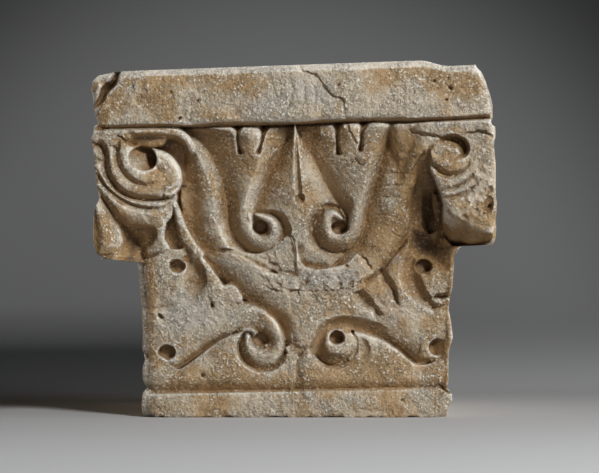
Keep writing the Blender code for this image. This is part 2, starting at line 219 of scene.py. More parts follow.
# ---- carving steps -----------------------------------------------------------------------------
class Face:
    """Heights w over the points (u, v) of one face; each step changes w in place."""

    def __init__(self, u, v):
        self.u = u.ravel()
        self.v = v.ravel()
        self.w = sunk(self.u, self.v) - 1.0

    def near(self, line, pad):
        """Indices of the points within pad of the line's own box."""
        (u0, v0), (u1, v1) = line.min(0) - pad, line.max(0) + pad
        return np.nonzero((self.u > u0) & (self.u < u1) & (self.v > v0) & (self.v < v1))[0]

    def settle(self, k, inward, height, rim, slope, share=1.0, ease=0.7):
        """Take height where inward (distance inside the outline) is positive. Outside, cut what
        stands there down to a bank that rises from the rim by slope for each millimetre away."""
        old = self.w[k]
        if slope:
            old = np.where(inward < 0, np.minimum(old, rim - inward * slope), old)
        mask = smooth(-ease, ease, inward)
        self.w[k] += share * (old * (1 - mask) + height * mask - self.w[k])

    def cell(self, outline, ground, edge, top, shoulder, power=2.0, slope=0.0, lean=None, only=None):
        """Closed form. Height = ground + edge + (top - edge) * (1 - (1 - d / shoulder) ^ power),
        where d is the distance inside the outline. It may be told only to fill, or only to cut."""
        line = curve(outline, closed=True)
        k = self.near(line, (4.0 - edge) / slope if slope else 3.0)
        u, v = self.u[k], self.v[k]
        dist, _, _, inside = nearest(u, v, line)
        inward = np.where(inside, dist, -dist)
        base = ground(u, v)
        rise = 1.0 - (1.0 - np.clip(inward / shoulder, 0.0, 1.0)) ** power
        height = base + edge + (top - edge) * rise
        if lean is not None:
            height = height + lean(u, v) * np.clip(inward / 3.0, 0.0, 1.0)
        if only:
            height = {"fill": np.maximum, "cut": np.minimum}[only](height, self.w[k])
        self.settle(k, inward, height, base + edge, slope)

    def band(self, path, half, ground, edges, top, ridge, power=1.6, slope=0.0, fade=0.0):
        """Band along a path. Across it, height = top - (top - edge) * x ^ power, where x is 0 on the
        ridge and 1 on the edge. Half width, ridge (-1 to 1), top and edges may change on the way:
        a list has one value for each point of the path. Edges are those of the right and the left."""
        line = curve(path)
        k = self.near(line, max(half) + (14.0 if slope else 3.0))
        u, v = self.u[k], self.v[k]
        dist, side, run, _ = nearest(u, v, line)
        stations = lengths(line)[::CURVE_STEPS]

        def along(values):
            """Values given at the path's points, read at the length run of each grid point."""
            return np.interp(run, stations, np.broadcast_to(np.array(values, float), stations.shape))

        width, rim, height = along(half), along(ridge), along(top)
        offset = np.clip(dist * side / width, -1.0, 1.0)
        left = offset > rim
        x = np.sqrt(np.where(left, (offset - rim) / (1 - rim), (rim - offset) / (1 + rim)) ** 2 + 0.003)
        edge = np.where(left, along(edges[1]), along(edges[0]))
        base = ground(u, v)
        height = base + height - (height - edge) * np.clip(x, 0.0, 1.0) ** power
        share = smooth(0.0, fade, run) if fade else 1.0
        self.settle(k, width - dist, height, base + edge, slope, share)

    def loft(self, left, right, ridge, foot, edge, top, power=1.5, slope=0.9):
        """Form between two edges and a ridge, each a curve read at the height v. Across it, height
        = top - (top - edge) * x ^ power, and it fades in over 12 mm above its foot."""
        lines = [curve(points) for points in (left, right, ridge)]
        lines = [line[np.argsort(line[:, 1])] for line in lines]
        reach = [line[:, 0] for line in lines[:2]]
        k = np.nonzero((self.v > foot) & (self.u > min(map(np.min, reach)) - 14)
                       & (self.u < max(map(np.max, reach)) + 14))[0]
        u, v = self.u[k], self.v[k]
        a, b, c = (np.interp(v, line[:, 1], line[:, 0]) for line in lines)
        x = np.where(u < c, (c - u) / np.maximum(c - a, 1.0), (u - c) / np.maximum(b - c, 1.0))
        x = np.sqrt(np.clip(x, 0.0, 1.0) ** 2 + 0.003)
        base = bell(u, v)
        height = base + top - (top - edge) * np.clip(x, 0.0, 1.0) ** power
        inward = np.minimum(u - a, b - u) * 0.9
        self.settle(k, inward, height, base + edge, slope, smooth(foot, foot + 12.0, v))

    def along(self, path, half, depth):
        """Points near a path: their indices, distance, side, and the half width and depth there."""
        line = curve(path)
        half, depth = (np.atleast_1d(np.array(values, float)) for values in (half, depth))
        k = self.near(line, half.max() + 1.5)
        dist, side, run, _ = nearest(self.u[k], self.v[k], line)
        t = run / lengths(line)[-1]
        wide = np.interp(t, np.linspace(0.0, 1.0, len(half)), half)
        deep = np.interp(t, np.linspace(0.0, 1.0, len(depth)), depth)
        return k, dist, side, wide, deep

    def groove(self, path, half, depth, power=1.0, soft=1.0):
        """Groove along a path, depth * (1 - (d / half) ^ power) ^ soft deep at the distance d from
        it. A power under 1 gives a sharp V, over 1 a round bottom, and soft over 1 round shoulders.
        Negative depths make a ridge."""
        k, dist, _, wide, deep = self.along(path, half, depth)
        self.w[k] -= deep * (1.0 - np.clip(dist / wide, 0.0, 1.0) ** power) ** soft

    def cove(self, path, half, depth, power=1.7, wall=1.6):
        """Hollow to the left of a path: full depth beside the path, depth * (1 - d / half) ^ power
        away from it, and a steep wall on the right."""
        k, dist, side, wide, deep = self.along(path, half, depth)
        left = np.clip(1.0 - dist / wide, 0.0, 1.0) ** power
        right = np.clip(1.0 - dist / wall, 0.0, 1.0)
        self.w[k] -= deep * np.where(side > 0, left, right)

    def oval(self, centre, radii, turn, reach):
        """Points near a turned oval: their indices and their distance from its centre in radii."""
        c, s = math.cos(math.radians(turn)), math.sin(math.radians(turn))
        k = self.near(np.array([centre, centre], float), reach * max(radii) + 1.0)
        du, dv = self.u[k] - centre[0], self.v[k] - centre[1]
        return k, np.hypot((du * c + dv * s) / radii[0], (dv * c - du * s) / radii[1])

    def drill(self, centre, radii, depth, turn=0.0, wall=1.2, ground=None):
        """Oval hole, depth below the ground (or below what stands there), with a wall of that width."""
        k, q = self.oval(centre, radii, turn, 1.3)
        mask = smooth(-0.4, wall, (1.0 - q) * min(radii))
        base = self.w[k] if ground is None else ground(self.u[k], self.v[k])
        self.w[k] = np.minimum(self.w[k], self.w[k] * (1 - mask) + (base - depth) * mask)

    def swell(self, centre, radii, high, turn=0.0):
        """Soft swelling, or hollow if high is negative: high * exp(-q^2) at q radii from its centre."""
        k, q = self.oval(centre, radii, turn, 2.5)
        self.w[k] += high * np.exp(-q * q)

    def scar(self, centre, radii, amount, size, seed, turn=0.0):
        """Rough broken patch: noise of that size and amount, gone at 1.3 radii from its centre."""
        k, q = self.oval(centre, radii, turn, 1.4)
        share = 1.0 - smooth(0.55, 1.3, q)
        self.w[k] += amount * share * rough(self.u[k], self.v[k], size, seed, 3)

    def deepen(self, times):
        """Stretch the relief: every depth below the bell grows that many times, but no hollow
        goes past the diagonal."""
        base = bell(self.u, self.v)
        self.w = np.maximum(base + (self.w - base) * times, diagonal(self.u))


# ---- the ornament ------------------------------------------------------------------------------
# A drawing holds the paths, outlines and centres of one half of a face as points (u, v) in mm. After
# a path's name, _w is its half width, _r its ridge, _t its top, _e its edges and _d its depth.
LEFT = dict(
    stem=[(-172, 228.5), (-150, 229), (-130, 229.8), (-112, 230), (-99, 228.8), (-90, 223.5),
          (-84.5, 214), (-81.5, 204), (-79.5, 192), (-78, 178), (-75.5, 164), (-71, 151), (-62, 137),
          (-49, 121), (-34, 107.5), (-19, 96), (-8, 85), (-3, 74), (-1.5, 63)],
    stem_w=[4.5, 4.5, 4.6, 4.8, 5.2, 6.2, 9.5, 13.5, 16.5, 18.5, 18.5, 18, 17.5, 16.5, 17, 17, 14.5, 12,
            10.5],
    stem_r=[0.1, 0.1, 0.2, 0.2, 0.2, 0.3, 0.4, 0.45, 0.5, 0.5, 0.5, 0.5, 0.55, 0.55, 0.55, 0.5, 0.4,
            0.3, 0.1],
    stem_t=[0, 0, 0, -0.5, -1, -1, -1, -1, -1, -1, -1, -0.5, 0, 0.5, 0.5, 0.5, 0, 0, 0],
    stem_e=([-8, -9, -10, -11, -12, -13, -13, -13, -13, -12, -11, -10, -9, -9, -9, -9, -9, -8, -7], -8),
    cone_out=[(-100, 238), (-90, 232), (-82, 226), (-76, 219), (-71, 211), (-66, 200), (-62, 189),
              (-59.5, 178), (-58, 167), (-57, 158), (-55, 150), (-53, 144)],
    cone_in=[(-4, 240), (-6.5, 231), (-12, 222), (-17, 213), (-23.5, 200), (-29, 188), (-32.5, 177),
             (-35, 169), (-36, 160), (-36, 144)],
    cone_crest=[(-70, 240), (-52, 232), (-40, 224), (-34, 212), (-34, 200), (-37, 188), (-40, 176),
                (-41.5, 165), (-41, 155), (-40, 144)],
    petals=[((-66, 234), (16, 4.5), 2.6, -12), ((-39, 230), (6.5, 8), 2.8, 0),
            ((-18, 233), (12, 4.5), 2.4, 14)],
    slits=[([(-50, 238), (-50, 229), (-49.5, 222), (-48, 214.5)], [7, 2.2, 1.3, 2.5]),
           ([(-28.5, 238), (-29.5, 229), (-31, 222), (-33.5, 214.5)], [7, 2.2, 1.3, 2.4])],
    scroll=[(-50, 178), (-49.3, 168), (-47.8, 157.5), (-43.5, 147.5), (-36, 140.5), (-27.5, 140),
            (-21, 145), (-19.3, 152), (-22, 158.5), (-28, 162.3), (-35, 164.5)],
    scroll_w=[8, 9, 9.4, 9, 8, 7, 6.4, 6, 5, 3.4, 1.4],
    scroll_r=[0.5, 0.45, 0.45, 0.5, 0.5, 0.35, 0.2, 0.1, 0, 0, 0],
    eye=((-31.8, 154.2), (6.9, 6.2)),
    leaf=[(-101, 178), (-95, 164), (-88, 146), (-78, 131), (-66, 113.5), (-61.5, 107.5), (-57, 108.5),
          (-51, 105.5), (-46.5, 98), (-45.5, 94), (-35, 90), (-22, 81), (-14, 67), (-13, 50), (-20, 43),
          (-32, 39), (-42, 43), (-48, 52), (-48, 61), (-44, 68), (-52, 68.5), (-66, 62), (-80, 51.5),
          (-93, 42), (-100, 39), (-107, 40), (-118, 49), (-134, 52), (-134, 118), (-127, 128),
          (-119, 132), (-115, 138), (-109, 139.5), (-102, 138), (-96, 137.5), (-96.5, 143),
          (-99.3, 153.5), (-99.6, 166)],
    channel=[(-91, 134), (-87.5, 126), (-85, 117), (-85, 109), (-88, 101), (-95, 94)],
    channel_w=[4, 8, 10, 10, 9, 4], channel_d=[2, 4.5, 5.6, 5.4, 3.5, 0.5],
    fold=[(-124, 87.5), (-112, 88.5), (-104, 91), (-97, 95)],
    spine=[(-98, 170), (-93, 153), (-85, 139), (-76, 126), (-70, 114), (-69, 104)],
    spine_w=[2, 3.5, 6, 8, 8, 6],
    curl=((-99.2, 122.6), (7.0, 5.8)),
    cuts=[([(-45.5, 93.8), (-50, 90), (-55, 84.5)], [2.5, 3, 1.5], [2.5, 1.6, 0.4]),
          ([(-74, 98), (-72.5, 94), (-71, 90)], [1, 2, 2], [0.6, 1.4, 2.2])],
    ring=[(-66, 80), (-54, 80.5), (-43, 80.5), (-34, 78.8), (-25.5, 74), (-19.5, 65.5), (-18.6, 56.5),
          (-23, 49), (-32, 47.6), (-39.5, 51), (-43.2, 58), (-42.5, 65)],
    ring_w=[9, 11, 12, 10.6, 8.4, 7, 7.2, 8.6, 9, 7.8, 6, 3.6],
    ring_r=[0.3, 0.5, 0.65, 0.7, 0.65, 0.5, 0.2, -0.2, -0.4, -0.4, -0.3, 0],
    ring_eye=((-31.4, 63), (7.0, 6.4)),
    under=[(-107, 43), (-100, 40.5), (-93, 43.5), (-80, 53), (-66, 63), (-57, 67.5), (-51, 69)],
    under_d=[2, 4, 5, 5, 4.4, 2.5, 0],
    pit=((-107.9, 52.6), (7.6, 6.5)),
    mound=[(-140, 47), (-124, 48), (-112, 43.5), (-100, 39.3), (-93, 42), (-80, 51.5), (-66, 62),
           (-52, 68.5), (-43.5, 69), (-49, 60), (-48.5, 52), (-43, 43.5), (-32, 39), (-21, 42),
           (-14, 48.5), (-10, 52), (-3, 51), (2, 46), (1, 34), (-1, 8), (-140, 8)],
)
RIGHT = dict(
    stem=[(92, 240), (89, 228), (85, 214), (79.5, 200), (75.5, 187), (73, 174), (71.5, 160), (68, 147),
          (60, 134), (48, 120), (34, 107), (20, 96), (9, 86), (4, 75), (2.5, 64)],
    stem_w=[13, 16, 17, 17, 17, 17.5, 18.5, 18.5, 18, 17, 16.5, 14.5, 11, 8, 7],
    stem_r=[0.2, 0.25, 0.3, 0.35, 0.35, 0.35, 0.35, 0.3, 0.2, 0.1, 0, 0, 0, 0, 0],
    stem_t=[-2, -1.5, -1, -1, -1, -1, -1, -0.5, -0.5, 0, 0, -0.5, -0.5, 0, 0],
    stem_e=(-9, [-2, -3, -6, -12, -16, -16, -14, -11, -8, -7, -7, -7, -7, -7, -7]),
    cone_out=[(80, 240), (72.5, 225), (68, 215), (63.5, 200), (60, 189), (57, 177), (54, 165),
              (52.3, 153), (51, 144)],
    cone_in=[(-4, 240), (-1, 231), (3, 224), (10, 211), (17, 198), (22, 188), (28, 178), (34, 171),
             (39, 163), (41, 144)],
    cone_crest=[(60, 240), (58, 228), (57, 214), (54.5, 200), (52, 188), (49.5, 176), (47.5, 165),
                (45.5, 155), (43, 144)],
    petals=[((20, 231), (9, 7), 3.2, 30), ((41, 231), (7, 9), 3.0, 0), ((66, 236), (16, 4.5), 2.8, 4)],
    slits=[([(30.5, 240), (30, 230), (30.2, 223), (31, 214)], [6.5, 2.1, 1.3, 2.5]),
           ([(52, 240), (49.8, 231), (49.4, 224), (48.6, 216.5)], [7, 2.2, 1.3, 2.5])],
    scroll=[(46, 180), (46.5, 169), (46, 158.5), (43.5, 148.8), (38, 142.7), (30.5, 141.3), (23, 144),
            (18.8, 151), (19, 158.5), (22.5, 164), (28, 165.3), (33.8, 161.5)],
    scroll_w=[6, 6.5, 6.6, 6.6, 7, 7.6, 8, 8, 7, 5.6, 4, 1.4],
    scroll_r=[-0.1, -0.1, -0.2, -0.3, -0.45, -0.5, -0.5, -0.5, -0.4, -0.2, 0, 0],
    eye=((32.6, 154.4), (7.3, 5.6)),
    leaf=[(89, 148), (84, 140), (76, 130), (65, 117.5), (56, 112), (39, 104.6), (13, 102.2), (-2, 101),
          (-6, 92), (-6, 70), (-4, 57), (8, 55), (13, 51), (18, 45.5), (26, 42), (34, 43), (41, 47.5),
          (46, 56), (46, 64), (42, 70), (52, 68), (67, 63), (80, 54.5), (92, 44.5), (98, 42.8),
          (105, 44.5), (116, 48), (136, 56), (136, 118), (126, 131), (112, 133), (102, 136), (95, 142)],
    channel=[(95, 136), (90.5, 128), (89, 119), (91, 109), (97, 99.5), (103.5, 93.5), (109, 88)],
    channel_w=[4, 7.5, 9, 9, 8, 6, 2.5], channel_d=[4, 6, 6.4, 6.2, 6, 5, 2],
    fold=[(106, 97), (112, 98), (118, 98), (126, 99)],
    spine=[(92, 148), (86, 139), (79, 128), (77, 116), (80, 104)],
    spine_w=[2, 5, 8, 9, 7],
    curl=((100.5, 122.5), (7.2, 6.2)),
    cuts=[([(45.5, 104), (50, 97.5), (55.5, 91.5), (62, 87)], [4.5, 6.5, 6, 3.5], [3, 4.6, 4.4, 2.5]),
          ([(66, 118), (70.5, 110), (74.5, 102), (79, 92)], [3, 5.5, 5, 2], [2.5, 3.5, 3, 1])],
    hollow=[(72, 65), (60, 71.5), (46, 74.3), (33, 75), (22.5, 72), (15.8, 65), (14.2, 57),
            (18.2, 49.5), (25.5, 45.6), (33, 45.7), (38.5, 49), (42, 54)],
    rim=[(24, 69), (22.5, 62), (26, 55), (32, 54), (38, 57)],
    ring_eye=((30.2, 64.6), (6.6, 5.8)),
    under=[(45, 70.5), (52, 69.3), (67, 64), (80, 55.6), (92, 45.6), (98, 44), (105, 45.5)],
    under_d=[2, 4, 5.4, 5.6, 5.2, 4, 2],
    pit=((111.8, 56.8), (7.4, 7.2)),
    mound=[(140, 46), (122, 47), (112, 47), (105, 44), (98, 42.8), (92, 44.5), (80, 54.5), (67, 63),
           (52, 68), (44, 69.5), (47, 62), (45, 53), (38, 45.5), (26, 42), (17, 46), (12, 53), (8, 57),
           (2, 54), (-2, 44), (-2, 32), (0, 8), (140, 8)],
)


def mirrored(drawing):
    """The drawing carried over the block's axis. Ridges and edges change hands, and so does the
    side of the cove, whose path is turned round."""
    def flip(item):
        """A point or a list of points carried over the axis; any other item as it is."""
        if isinstance(item, tuple) and len(item) == 2 and all(isinstance(x, (int, float)) for x in item):
            return (2 * MIDDLE - item[0], item[1])
        if isinstance(item, list):
            return [flip(x) for x in item]
        return item

    other = {name: flip(item) for name, item in drawing.items()}
    for name in ("eye", "curl", "ring_eye", "pit"):
        (u, v), radii = drawing[name]
        other[name] = ((2 * MIDDLE - u, v), radii)
    for name in ("stem_r", "scroll_r", "ring_r"):
        other[name] = [-x for x in drawing[name]]
    other["petals"] = [((2 * MIDDLE - u, v), radii, high, -turn)
                       for (u, v), radii, high, turn in drawing["petals"]]
    other["slits"] = [(flip(path), half) for path, half in drawing["slits"]]
    other["cuts"] = [(flip(path), half, depth) for path, half, depth in drawing["cuts"]]
    other["stem_e"] = drawing["stem_e"][::-1]
    for name in ("under", "under_d"):
        other[name] = other[name][::-1]
    return other


def carve_stem(face, d):
    """Stem: a band that swells on its way from the foot up into the volute. Across it, the height
    falls from the ridge with the power 1.8 of the distance."""
    face.band(d["stem"], d["stem_w"], crest, d["stem_e"], d["stem_t"], d["stem_r"], power=1.8)


def carve_cone(face, d, side):
    """Calyx: a flank that rises to a crest, three petals at its head and two slits between them,
    each of which ends in a drop."""
    left, right = (d["cone_out"], d["cone_in"]) if side < 0 else (d["cone_in"], d["cone_out"])
    face.loft(left, right, d["cone_crest"], 148.0, -9.5, 0.0)
    for centre, radii, high, turn in d["petals"]:
        face.swell(centre, radii, high, turn)
    for path, half in d["slits"]:
        face.groove(path, half, [7, 5, 4, 5.5], power=0.9)


def carve_scroll(face, d, side):
    """Tip of a calyx rolled into a scroll: steep outside, shallow inside, with a drilled eye."""
    edges = (-9, -4) if side < 0 else (-4, -9)
    face.band(d["scroll"], d["scroll_w"], bell, edges, -0.5, d["scroll_r"], slope=1.0, fade=16.0)
    face.drill(*d["eye"], 12.0, ground=bell, wall=1.8)


def carve_leaf(face, d):
    """Leaf: flat with a round edge, a channel beside its folded lobe, a drilled curl and cuts."""
    face.cell(d["leaf"], bell, -2.8, -0.3, 7.0, slope=1.2)
    face.groove(d["channel"], d["channel_w"], d["channel_d"], power=2.0, soft=1.1)
    face.groove(d["fold"], [2, 4, 4, 2], [0.4, 1.8, 1.8, 0.4])
    face.groove(d["spine"], d["spine_w"], [-3, -2.2, -1.8, -1.4, -0.4], power=2.0, soft=1.5)
    face.drill(*d["curl"], 7.0, ground=bell, wall=1.6)
    for path, half, depth in d["cuts"]:
        face.groove(path, half, depth, power=1.1)


def carve_mound(face, d):
    """Mound over the foot band: a flat form with a round edge, whose underside leans back."""
    def underside(u, v):
        """3.6 mm deep at v = 21.5, with the power 1.8 of the way down from v = 33."""
        return -3.6 * np.clip((33.0 - v) / 11.5, 0.0, 1.0) ** 1.8

    face.cell(d["mound"], bell, -2.2, -0.2, 7.0, slope=1.4, lean=underside)


def carve_ring(face, d):
    """Leaf tip rolled into a ring, with the cove that runs from it under the leaf to a pit. The ring
    is a band where the drawing has its path, and else what a round hollow leaves standing."""
    face.cove(d["under"], [11, 18, 23, 23, 21, 17, 10], d["under_d"], power=1.7, wall=0.8)
    if "ring" in d:
        face.band(d["ring"], d["ring_w"], bell, (-6, -6), 0.0, d["ring_r"], power=1.7, slope=2.0, fade=30.0)
        tip = d["ring"][-1]
        face.swell((tip[0], tip[1] + 3.5), (3.5, 2.5), 3)
    else:
        face.groove(d["hollow"], [6, 7, 8, 8, 7.5, 7.5, 7, 6], [0, 3, 5, 6, 6, 5.5, 3.5, 0.5],
                    power=2.0, soft=1.3)
        face.groove(d["rim"], [3, 4, 4, 3.5, 2], [-0.4, -1.2, -1.6, -1.4, -0.4], power=1.5)
        face.cell([(44.5, 69), (47, 68), (50, 63), (50, 55), (46, 47), (39, 46.5), (42, 55),
                   (43.5, 62)], bell, -2.8, -2.4, 2, only="fill")
        face.groove([(49, 66), (52, 60), (53, 54), (50, 48)], [2, 4.5, 4.5, 2], [0.6, 2.6, 2.6, 0.6],
                    power=1.6)
    face.drill(*d["ring_eye"], 10.0, ground=bell, wall=1.8)
    face.drill(*d["pit"], 6.5, ground=bell, wall=1.8)


def carve_middle(face):
    """Low ground between the scrolls: a loft that stands 6 mm higher on the axis than beside it."""
    face.loft([(-60, 190), (-40, 160), (-32, 140), (-40, 120), (-60, 100)],
              [(60, 190), (40, 160), (32, 140), (44, 120), (60, 100)],
              [(-4, 190), (-3, 160), (-3, 140), (-2, 108)], 96, -8, -2.0, power=1.6)


def carve_lance(face):
    """Lance between the calyxes: a loft up to their inner edges, with a drawn vein that ends in a
    small eye, and a groove along the top of the right scroll."""
    face.loft(LEFT["cone_in"][:9], RIGHT["cone_in"][:9],
              [(-4, 240), (-3.5, 220), (-3, 200), (-2.5, 180), (-2, 160)], 161, -9.5, -1.0, power=1.35)
    face.groove([(8, 165), (15, 169.5), (22, 171), (31, 170)], [1, 3, 3.5, 2.5], [1, 3, 4, 3], power=1.2)
    face.groove([(-2.5, 231), (-2.4, 215), (-1.8, 198), (-0.8, 183)], [1, 2, 2.6, 3], [0.6, 2, 2.8, 3],
                power=1.5, soft=1.3)
    face.drill((0, 177.5), (4.4, 4.4), 3.4, wall=2.2)


def carve_volute(face, side):
    """Volute of the left end (side -1), or its mirror image at the right end (side +1)."""
    def put(points):
        """The points, carried over the block's axis for the right end."""
        return points if side < 0 else [(2 * MIDDLE - u, v) for u, v in points]

    def place(u, v):
        """One such point."""
        return put([(u, v)])[0]

    def underside(u, v):
        """Ground under the volute: it leaves the bell at v = 128 and comes out by 57 in 100."""
        return bell(u, v) + 0.57 * (v - 128.0)

    def strip(u, v):
        """Ground of the strip: the bell, and 9 mm more by the time that it meets the volute."""
        return bell(u, v) + 9.0 * smooth(145.0, 182.0, v)

    def bowl(u, v):
        """Floor of the eye: 5 mm deep at its lower outer rim, deeper by 0.64 mm for each millimetre
        inward or up, and by at most 17.6 mm."""
        inward = 129.0 - np.abs(u - MIDDLE)
        return horn(u, v) - 5.0 - 0.8 * np.clip(0.8 * inward + 0.8 * (v - 203.0), 0.0, 22.0)

    # Hollow between the stem and the volute, a pocket beside the strip, and two grounds below.
    face.cell(put([(-124, 219), (-119, 223.5), (-110, 227), (-100, 227), (-92, 223), (-87, 217),
                   (-82, 208), (-80, 195), (-82, 182), (-90, 172), (-110, 176), (-120, 190),
                   (-128, 205)]), crest, -1, -10, 17, power=1.0, only="cut")
    face.cell(put([(-108, 162), (-99, 160), (-94, 139), (-104, 137), (-109, 142), (-110, 150)]), bell,
              -7, -8, 3)
    face.cell(put([(-150, 172), (-112, 172), (-110, 152), (-111, 140), (-124, 132), (-128, 120),
                   (-150, 120)]), underside, -8, -7, 3, only="fill")
    face.cell(put([(-108, 158), (-117.5, 156), (-118, 148.5), (-121, 142), (-127, 135), (-124, 128),
                   (-112, 132), (-105, 137), (-108.5, 144), (-108.8, 150)]), underside, -6, -1.0, 5,
              only="fill")
    # Three lobes that lie on each other: the lowest, a thin fillet, and the rolled one on top.
    face.cell(put([(-170, 192), (-164, 180), (-156, 168), (-148, 160), (-139, 155), (-128, 154),
                   (-118, 153.5), (-111, 155), (-106.5, 159), (-102.5, 164), (-101.5, 171), (-99, 179),
                   (-110, 186), (-130, 190), (-148, 198)]), horn, -14, -3.0, 12)
    face.cell(put([(-166, 205), (-160, 193), (-155, 186.5), (-149, 181), (-142, 176), (-135, 172.4),
                   (-127, 170), (-118, 169), (-110, 170.5), (-104, 174.5), (-99, 179), (-104, 188),
                   (-130, 195), (-150, 205)]), horn, -8, -2.2, 4, power=2.2, slope=1.2)
    face.cell(put([(-150, 236), (-172, 236), (-168, 224), (-160, 220), (-156, 213), (-155.5, 204),
                   (-153.5, 196), (-149, 188.5), (-143, 182.5), (-136, 178.8), (-128, 177),
                   (-119, 176.8), (-111, 176.8), (-104, 178), (-98.5, 182.5), (-95.2, 188.5),
                   (-94.4, 195.5), (-96.5, 203), (-101.5, 210), (-108, 215), (-117, 217.8),
                   (-125, 219.5), (-133, 220.5), (-139, 225), (-143, 231)]), horn, -9, -0.5, 6,
              power=2.2, slope=1.4)
    # Floor of the hollow over the roll, then the hollow beside the drop.
    face.cell(put([(-141, 222), (-134, 228), (-118, 230), (-106, 228), (-110, 220), (-122, 218),
                   (-132, 219.5)]), crest, -10, -7.5, 8, only="fill")
    face.swell(place(-96.5, 177), (3.5, 9), 5)
    face.swell(place(-134, 141), (6, 9), -7)
    face.groove(put([(-147, 166), (-141, 152), (-139.5, 143), (-143, 133)]),
                [1.5, 3, 3.5, 2], [1, 4, 4.5, 2], power=1.2)
    # Turn of the roll, and small seams and a dent where its surface is worn.
    face.groove(put([(-145, 222), (-147, 214), (-145.8, 206), (-142.8, 199.3), (-138, 193.6),
                     (-132, 189.6), (-125.5, 187.8), (-119.5, 189), (-114, 192.5)]),
                [3, 4, 4.5, 4.5, 4.5, 4.5, 4, 3, 1.5], [3.5, 5.5, 6, 6, 6, 5.5, 4.5, 3, 0.5], power=0.6)
    face.groove(put([(-126, 176.3), (-119, 176), (-113, 176.2), (-106, 177.5)]), 1.3, [1, 3, 3, 1])
    face.groove(put([(-111, 176), (-109, 180), (-108.5, 184)]), 1.0, [0.5, 2, 0.5])
    face.swell(place(-108, 203), (8, 11), -1.6)
    # Eye of the roll, the break at its rim and a chip in the hollow.
    face.cell(put([(-137, 212), (-133.5, 217), (-127, 219), (-119, 217), (-115, 211), (-115.5, 205),
                   (-119, 201), (-126, 199.5), (-133, 202.5), (-136.5, 207)]), bowl, 1.5, 0.0, 2.5,
              only="cut")
    face.groove(put([(-107.5, 182), (-103, 183.4), (-98.5, 185.5), (-94, 187)]), [1.2, 2.6, 2.8, 1.5],
                [2, 5, 5, 2], power=1.4)
    face.swell(place(-133, 150), (2.4, 4.0), 4)
    # End of the stem laid over the roll, the drop at the corner, and the strip down to the leaf.
    face.cell(put([(-176, 238), (-176, 223), (-160, 221.5), (-150, 222), (-141, 221.5), (-136, 223.5),
                   (-131, 226.5), (-122, 228.4), (-108, 228.6), (-99, 226.5), (-92, 221.5), (-88, 214),
                   (-81, 213), (-85, 222), (-90, 229), (-97, 234.5), (-105, 238)]), crest, -3.5, 0, 5,
              only="fill")
    face.cell(put([(-168, 183), (-163, 184), (-158.5, 179), (-153, 171), (-148, 161), (-144, 150),
                   (-142, 142), (-144, 135.5), (-149, 131), (-158, 128), (-166, 130), (-170, 150)]),
              horn, -13, 0.5, 14)
    face.cell(put([(-102, 181), (-96.5, 168), (-91.5, 155), (-86, 145), (-77, 131.5), (-84, 128),
                   (-91, 136), (-96.5, 143), (-99.5, 153), (-102, 165), (-104.5, 174)]), strip, -2.5,
              1.0, 4, only="fill")


